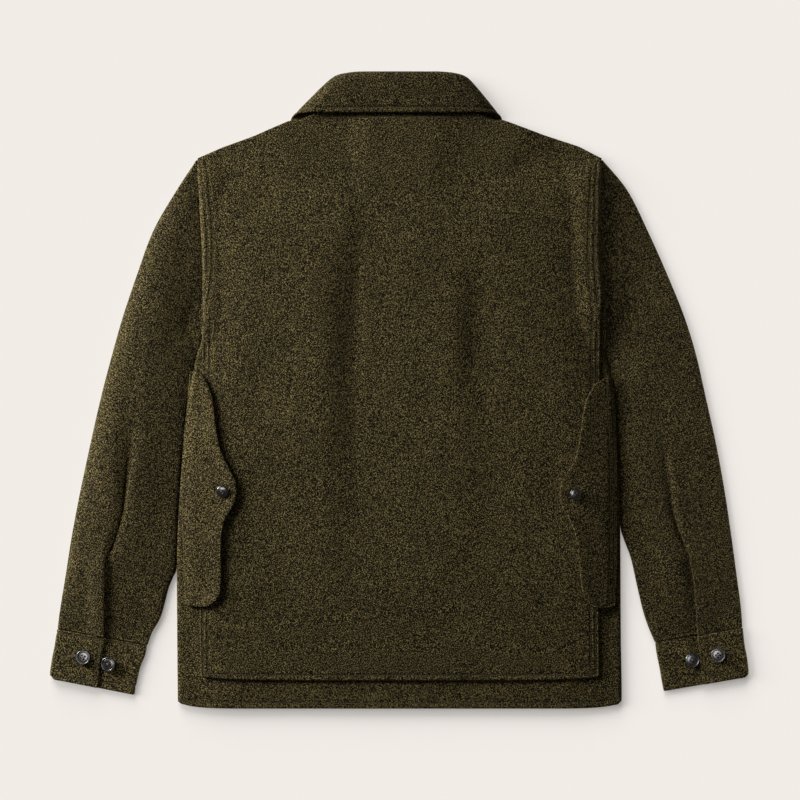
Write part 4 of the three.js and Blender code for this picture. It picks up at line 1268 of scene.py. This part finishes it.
def drill(mesh, radius, height):
    drills = bmesh.new()
    for x, y in holePlaces(radius):
        where = Matrix.Translation((x, y, height / 2))
        bmesh.ops.create_cone(drills, cap_ends=True, segments=24, radius1=buttonFacts["hole"] * radius,
                              radius2=buttonFacts["hole"] * radius, depth=height * 2, matrix=where)
    cutter, blank = addObject("drill", toMesh("drill", drills)), addObject("blank", mesh)
    cutting = blank.modifiers.new("holes", "BOOLEAN")
    cutting.operation, cutting.solver, cutting.object = "DIFFERENCE", "EXACT", cutter
    drilled = applied(blank)
    bpy.data.objects.remove(cutter)
    bpy.data.objects.remove(blank)
    return drilled


def tube(points, across, radius, sides=8):  # a closed tube along a line that stays in one upright plane
    along = unit(np.gradient(points, axis=0))
    lift = np.cross(along, across)
    angles = np.linspace(0, 2 * np.pi, sides, endpoint=False)
    rings = [p + radius * (math.cos(a) * across + math.sin(a) * up) for p, up in zip(points, lift) for a in angles]
    count = len(points)
    faces = [(k * sides + j, k * sides + (j + 1) % sides, (k + 1) * sides + (j + 1) % sides, (k + 1) * sides + j)
             for k in range(count - 1) for j in range(sides)]
    faces += [tuple(range(sides))[::-1], tuple(range((count - 1) * sides, count * sides))]
    return np.array(rings), faces


def threadTubes(radius, height, dish, crossed, shank):  # strands over a button, and the stem under it
    holes = [np.array(place) for place in holePlaces(radius)]
    pairs = [(0, 2), (1, 3)] if crossed else [(0, 1), (3, 2)]
    made = []
    for order, (a, b) in enumerate(pairs):
        run = unit(holes[b] - holes[a])
        across = np.array([-run[1], run[0], 0])
        for off in buttonFacts["strands"]:
            steps = [(0, -1.6), (0.0, -0.3), (0.12, 0.28), (0.5, 0.42 + (0.5 * order if crossed else 0)),
                     (0.88, 0.28), (1.0, -0.3), (1.0, -1.6)]
            line = [(*lerp(holes[a], holes[b], t), dish * height + z) for t, z in steps]
            made.append(tube(roundCurve(np.array(line) + across * off, 20), across, buttonFacts["strand"]))
    if shank:
        stem = np.array([(0, 0, z) for z in np.linspace(-shank, 0.4, 6)])
        made.append(tube(stem, np.array([1.0, 0, 0]), 1.3, 12))
    return made


def onFlap(x, y, sewn, free):  # a place on a flap, from how far out its sewn and its free edge are there
    reach = sewn - free
    return x, y, float(flapLift(x, y, (sewn - abs(x)) / reach, reach)) + cloth + 0.1


def placeButtons():
    low, up = layer * 2 + cloth + seamGap, layer + cloth + seamGap
    rows = [  # node, place, radius, height, kind, lean towards, turn of the thread
        ("button_cuff_left_fastened", (-384.4, -326.4, low), 9, 3.1, "flat", (0.02, 0.03), 10),
        ("button_cuff_left_spare", (-354.0, -335.1, up), 9, 3.1, "flat", (-0.17, 0.04), 35),
        ("button_cuff_right_fastened", (388.1, -323.9, low), 9, 3.1, "flat", (-0.03, 0.02), 80),
        ("button_cuff_right_spare", (357.2, -330.1, up), 9, 3.1, "flat", (0.10, 0.04), 45),
        ("button_flap_left", onFlap(-214.0, -124.0, 264.6, 196.2), 7.5, 3.9, "domed", (0.04, -0.24), 20),
        ("button_flap_right", onFlap(213.5, -127.4, 265.4, 194.9), 7.5, 3.9, "domed", (0.28, -0.06), 60),
    ]
    rows += [(f"button_front_{k + 1}", (0, 252 - 110 * k, 2.6), 10, 2.6, "flat", None, 30 * k) for k in range(5)]
    points, faces = [], []
    for node, at, radius, height, kind, lean, turn in rows:
        mesh = drill(latheButton(node, buttonFacts[kind], radius, height), radius, height)
        where = Vector((*toFrame(np.array(at, float)),)) * 1000
        under = lean is None  # a front button lies on its face, so its strands stay within its rim
        if under:
            tilt, lifted = Matrix.Rotation(math.pi, 4, "X"), 0
        else:
            tilt = Vector((*lean, 1)).to_track_quat("Z", "Y").to_matrix().to_4x4()
            lifted = radius * 0.72 * math.hypot(*lean)
        spin = Matrix.Rotation(math.radians(turn), 4, "Z")
        pose = Matrix.Translation(where + Vector((0, 0, lifted))) @ tilt @ spin
        mesh.transform(Matrix.Scale(0.001, 4) @ pose)
        mesh.shade_smooth()
        mesh.set_sharp_from_angle(angle=math.radians(50))
        mesh.materials.clear()
        mesh.materials.append(horn)
        buttonLog.append((addObject(node.replace("button_", "fine_button_"), mesh), node))
        dish = buttonFacts[kind][-1][1] - (0.05 if under else 0)
        crossed = kind == "flat" and not under
        shank = lifted + 0.3 if kind == "domed" else 0
        for ring, quads in threadTubes(radius, height, dish, crossed, shank):
            faces += [tuple(len(points) + k for k in face) for face in quads]
            points += [pose @ Vector(p) / 1000 for p in ring.tolist()]
    shape = bmesh.new()
    made = [shape.verts.new(p) for p in points]
    for face in faces:
        shape.faces.new([made[k] for k in face])
    bmesh.ops.recalc_face_normals(shape, faces=shape.faces)
    mesh = toMesh("buttonThread", shape)
    mesh.shade_smooth()
    mesh.materials.append(russet)
    threadLog.append(addObject("buttonThread", mesh))


buttonLog = []
placeButtons()
print("buttons placed")


# Floor and light

lightFacts = {
    "floor": (0.50, 0.478, 0.455),
    "floorGlow": 0.3295,
    "glowColour": (0.888, 0.846, 0.799),
    "floorReach": 40,
    "floorSuns": [
        {"energy": 4.2, "high": 24.5, "from": 104, "soft": 40},
        {"energy": 4.2, "high": 24.5, "from": 164, "soft": 40},
    ],
    "side": {"energy": 51.5, "high": 15, "from": 159, "distance": 1.9, "size": 0.6},  # a soft box at the left
    "top": {"energy": 1.28, "high": 24, "from": 134, "soft": 14},
    "rim": {"energy": 1.5, "high": 8, "from": 8, "soft": 20},  # for the outer edges of the sleeves
    "gloss": {"energy": 80, "high": 86, "from": 120, "distance": 3.0, "size": 1.8},  # for the buttons
    "sky": 0.07,
}


def makeFloor():
    reach = lightFacts["floorReach"]
    mesh = bpy.data.meshes.new("floor")
    corners = [(-reach, -reach, 0), (reach, -reach, 0), (reach, reach, 0), (-reach, reach, 0)]
    mesh.from_pydata(corners, [], [(0, 1, 2, 3)])
    mesh.materials.append(Graph("paleSurface").finish({
        "Base Color": lightFacts["floor"],
        "Roughness": 0.95,
        "Specular IOR Level": 0.0,
        "Emission Color": lightFacts["glowColour"],
        "Emission Strength": lightFacts["floorGlow"],
    }))
    floor = addObject("floor", mesh)
    floor.location.z = -0.0002
    return floor


def placeLight(name, kind, facts, objects):  # it lights these objects alone, and everything shades them
    data = bpy.data.lights.new(name, kind)
    data.energy = facts["energy"]
    if kind == "SUN":
        data.angle = math.radians(facts["soft"])
    else:
        data.size = facts["size"]
    high, side = math.radians(facts["high"]), math.radians(facts["from"])
    toward = Vector((math.cos(high) * math.cos(side), math.cos(high) * math.sin(side), math.sin(high)))
    lamp = addObject(name, data)
    lamp.rotation_euler = toward.to_track_quat("Z", "Y").to_euler()
    lamp.location = toward * facts.get("distance", 3)
    group = bpy.data.collections.new(name + "Receivers")
    for item in objects:
        group.objects.link(item)
    lamp.light_linking.receiver_collection = group


def makeLight(floor, pieces):
    for k, facts in enumerate(lightFacts["floorSuns"]):
        placeLight(f"floorLight{k + 1}", "SUN", facts, [floor])
    placeLight("sideLight", "AREA", lightFacts["side"], pieces)
    placeLight("topLight", "SUN", lightFacts["top"], pieces)
    outer = [o for o in pieces if o.name.startswith(("sleeve", "cuff"))]
    placeLight("rimLight", "SUN", lightFacts["rim"], outer)
    placeLight("glossLight", "AREA", lightFacts["gloss"], [piece for piece, node in buttonLog])
    world = bpy.data.worlds.new("studio")
    world.use_nodes = True
    back = world.node_tree.nodes["Background"]
    back.inputs[0].default_value = (1.0, 0.985, 0.965, 1)
    back.inputs[1].default_value = lightFacts["sky"]
    scene.world = world
    scene.view_settings.view_transform = "Standard"
    scene.view_settings.look = "None"


floor = makeFloor()
makeLight(floor, [o for o in scene.objects if o.type == "MESH" and o != floor])
print("floor and light placed")


# Each piece hangs under the root, and the imported part it stands for is hidden


def declare():
    for name, (piece, node, cut, restsOn, area) in pieceLog.items():
        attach(piece, "root")
        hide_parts(node)


declare()
for piece, node in buttonLog:
    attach(piece, "root")
    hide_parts(node)
for piece in threadLog:
    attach(piece, "root")
